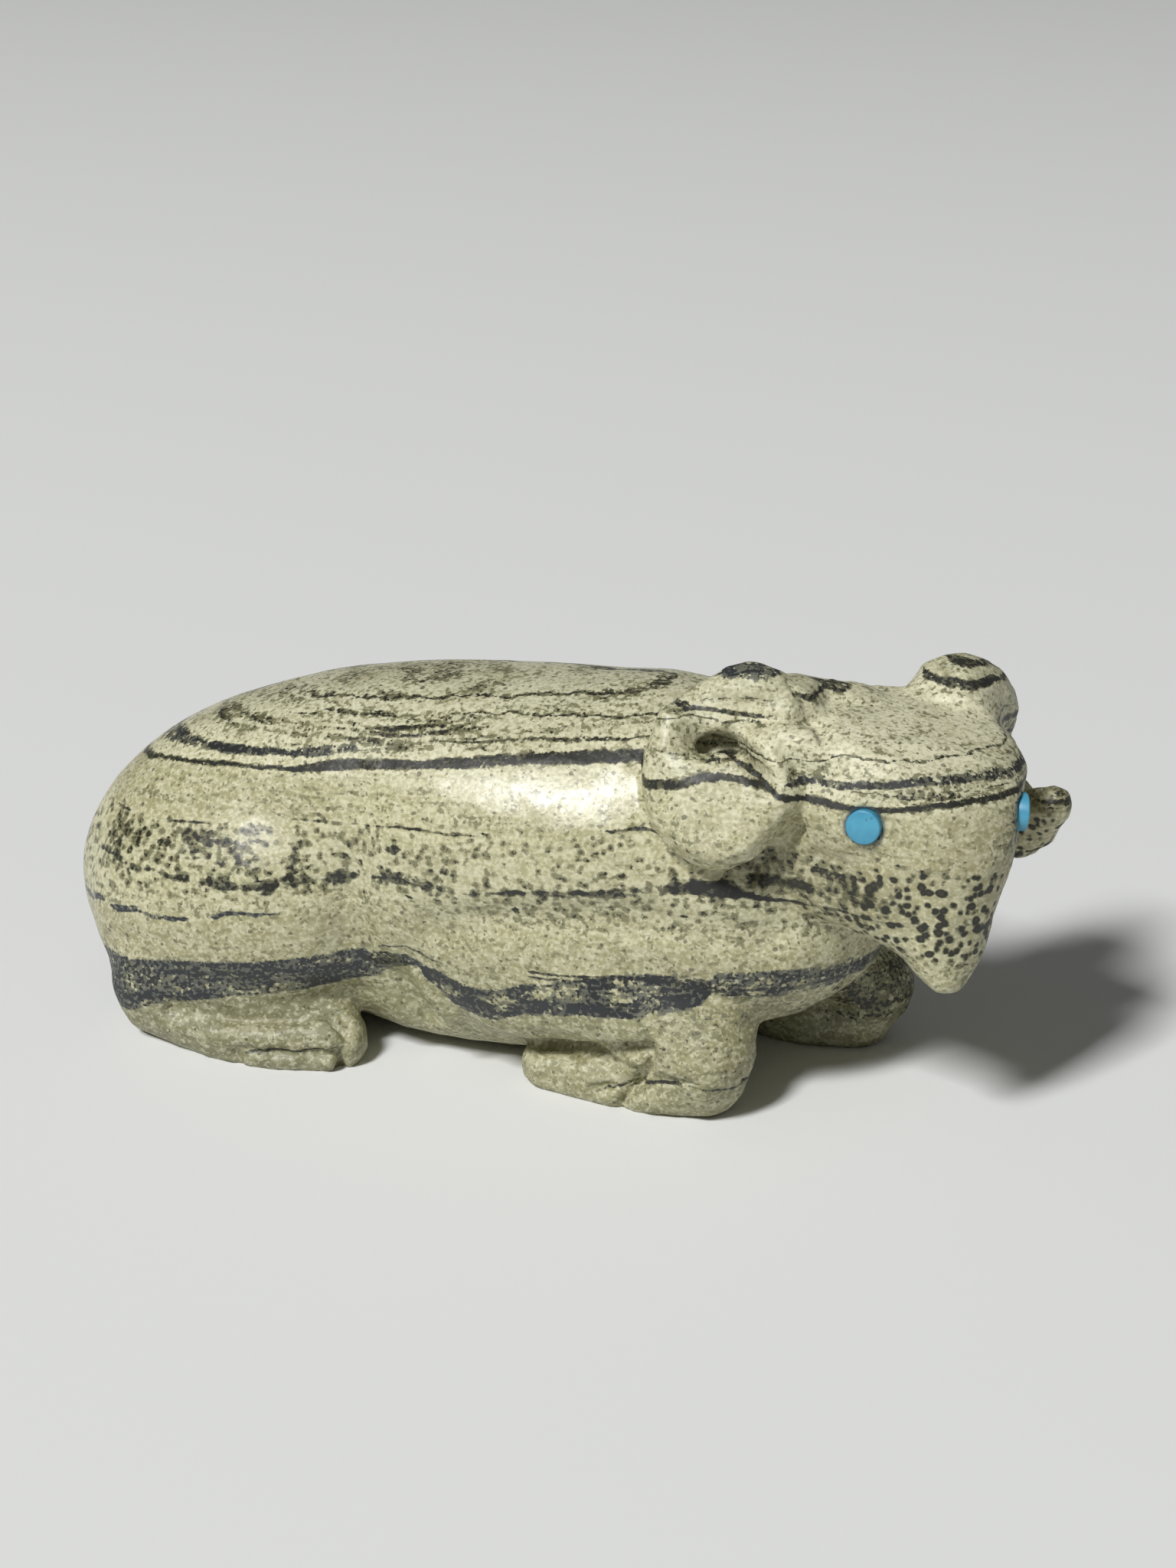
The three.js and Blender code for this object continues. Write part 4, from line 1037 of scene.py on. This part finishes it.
def banded_stone():
    """Serpentine: a soft green-grey to cream stone laid down in beds, sawn, filed and sanded
    to shape, and rubbed to a satin gloss. Beds rich in dark grains cross it as ragged bands,
    and single grains strewn between them give it a peppered look."""
    material, add = new_material("satin_rubbed_banded_serpentine")
    frame_place = add("TexCoord", out="Object")
    place = add("VectorMath", (frame_place, (1 / MM,) * 3, tuple(-SHIFT)), operation="MULTIPLY_ADD")
    axes = {name: add("SeparateXYZ", (place,), out=name) for name in "XYZ"}
    noises = {name: stone_noise(add, place, name) for name in NOISES if name != "layers"}
    along, bed = height_in_beds(add, axes, noises)
    laid = add("CombineXYZ", (axes["X"], axes["Y"], bed))
    noises["layers"] = stone_noise(add, laid, "layers")
    surface = stone_colour(add, place, axes["X"], along, bed, noises)
    gloss = rubbed_gloss(add, axes, noises["scuff"])
    relief = add("Bump", {"Height": noises["scuff"], "Strength": 0.3, "Distance": 0.02 * MM})
    shader = add("BsdfPrincipled", {
        "Base Color": surface, "Roughness": gloss, "IOR": 1.56, "Normal": relief})
    add("OutputMaterial", {"Surface": shader})
    return material


def studio_paper():
    """Matt studio paper: plain, pale and without gloss."""
    material, add = new_material("matt_studio_paper")
    shader = add("BsdfPrincipled", {"Base Color": colour("#E2E3E2"), "Roughness": 0.9})
    add("OutputMaterial", {"Surface": shader})
    return material


# Pieces

def make_ram():
    mesh, points = surface_mesh("ram_stone", stone, STONE_LOW, STONE_HIGH)
    scraped(mesh, points)
    piece = placed("ram_stone", mesh)
    mesh.materials.append(banded_stone())
    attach(piece, "root")
    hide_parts("ram")


def eye_profile(radius, steps=9):
    """Half the outline of a rod with a low domed top: distances from its axis and heights."""
    foot = [(0, -EYE_DEPTH), (radius * EYE_FOOT, -EYE_DEPTH), (radius, -EYE_DEPTH + EYE_FOOT_BEVEL)]
    rim = [(radius * (DOME + (1 - DOME) * math.cos(a)),
            EYE_PROUD * (RIM_LOW + (RIM_HIGH - RIM_LOW) * math.sin(a)))
           for a in np.radians(np.linspace(0, 90, steps))]
    dome = [(radius * DOME * (1 - t), EYE_PROUD * (RIM_HIGH + (1 - RIM_HIGH) * (1 - (1 - t) ** 2)))
            for t in np.linspace(0, 1, steps)[1:]]
    return foot + rim + dome


def eye_point(eye, radius, height, angle):
    """A point of an eye's rod, in metres in the frame. The top of a rod that leans rises
    towards one side."""
    axis = eye_axis(eye)
    out = math.cos(angle) * np.cross(axis, UP) + math.sin(angle) * UP
    rise = eye["lean"] * (LEAN_RISE + radius * math.cos(angle)) if height > 0 else 0
    return (head_point(*eye["place"]) + SHIFT + (height + rise) * axis + radius * out) * MM


def turned_mesh(name, profile, eye, around=48):
    """A profile turned about the eye's axis, as a closed mesh in the frame."""
    form = bmesh.new()
    rings = []
    for radius, height in profile:
        count = around if radius > 0 else 1
        angles = [2 * math.pi * k / around for k in range(count)]
        rings.append([form.verts.new(eye_point(eye, radius, height, a)) for a in angles])
    for low, high in zip(rings, rings[1:]):
        for k in range(around):
            ring = [low[k % len(low)], low[(k + 1) % len(low)]]
            ring += [high[(k + 1) % len(high)], high[k % len(high)]]
            form.faces.new(list(dict.fromkeys(ring)))
    bmesh.ops.recalc_face_normals(form, faces=form.faces)
    mesh = bpy.data.meshes.new(name)
    form.to_mesh(mesh)
    form.free()
    return mesh


def make_eye(side, eye, material):
    """A short rod of turquoise whose top is ground to a low dome."""
    name = "turquoise_eye_" + side
    mesh = turned_mesh(name, eye_profile(eye["radius"] - GLUE_GAP), eye)
    mesh.materials.append(material)
    mesh.polygons.foreach_set("use_smooth", np.ones(len(mesh.polygons), bool))
    piece = placed(name, mesh)
    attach(piece, "root")
    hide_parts("eye_" + side)


make_ram()
eye_turquoise = turquoise()
make_eye("right", EYE_RIGHT, eye_turquoise)
make_eye("left", EYE_LEFT, eye_turquoise)


# Floor, light and camera

# Half the floor's width, in metres.
FLOOR_HALF = 9.0

# One soft lamp, high on the left behind the camera, where the edge of the shadow puts it.
# Its place, its target and its sides are in mm, its power in watts.
KEY = {"place": (-593, -1629, 1925), "target": (0, 0, 10), "wide": 420, "tall": 620, "power": 70.0}

# The dim even light from all round.
SKY = "#F4F6F2"
SKY_STRENGTH = 0.13

# The camera's place in mm, the way it looks in degrees, its focal length in pixels of a
# picture of this height, its sensor in mm, and how near it begins to see, in mm.
CAMERA_PLACE = (48.4, -145.4, 72.2)
CAMERA_ROUND, CAMERA_DOWN = 18, 20.5
FOCAL_PIXELS, PICTURE_HEIGHT, SENSOR = 3900, 2048, 36
NEAREST_SEEN = 5


def make_floor():
    corners = [(-1, -1), (1, -1), (1, 1), (-1, 1)]
    mesh = bpy.data.meshes.new("floor")
    mesh.from_pydata([(x * FLOOR_HALF, y * FLOOR_HALF, 0) for x, y in corners], [], [(0, 1, 2, 3)])
    mesh.materials.append(studio_paper())
    placed("floor", mesh)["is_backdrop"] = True


def make_light(name, place, target, wide, tall, power):
    lamp = bpy.data.lights.new(name, "AREA")
    lamp.shape = "RECTANGLE"
    lamp.size = wide * MM
    lamp.size_y = tall * MM
    lamp.energy = power
    light = placed(name, lamp)
    light.location = (np.array(place) + SHIFT) * MM
    aim = Vector(np.array(target, float) - np.array(place, float))
    light.rotation_euler = aim.to_track_quat("-Z", "Y").to_euler()


def make_camera():
    """The photograph's view: from the animal's right, a little towards the head and above."""
    data = bpy.data.cameras.new("camera")
    data.sensor_fit = "AUTO"
    data.sensor_width = SENSOR
    data.lens = FOCAL_PIXELS / PICTURE_HEIGHT * SENSOR
    data.clip_start = NEAREST_SEEN * MM
    camera = placed("camera", data)
    camera.location = (np.array(CAMERA_PLACE) + SHIFT) * MM
    camera.rotation_euler = (math.radians(90 - CAMERA_DOWN), 0, math.radians(CAMERA_ROUND))
    bpy.context.scene.camera = camera


def make_world():
    world = bpy.data.worlds.new("studio")
    world.use_nodes = True
    background = world.node_tree.nodes["Background"]
    background.inputs["Color"].default_value = colour(SKY)
    background.inputs["Strength"].default_value = SKY_STRENGTH
    bpy.context.scene.world = world
    bpy.context.scene.view_settings.view_transform = "Standard"


make_floor()
make_light("key", **KEY)
make_camera()
make_world()

boxes = {"cad": cad_box, "visual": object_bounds()}
{k: [list(v) for v in b] for k, b in boxes.items()}
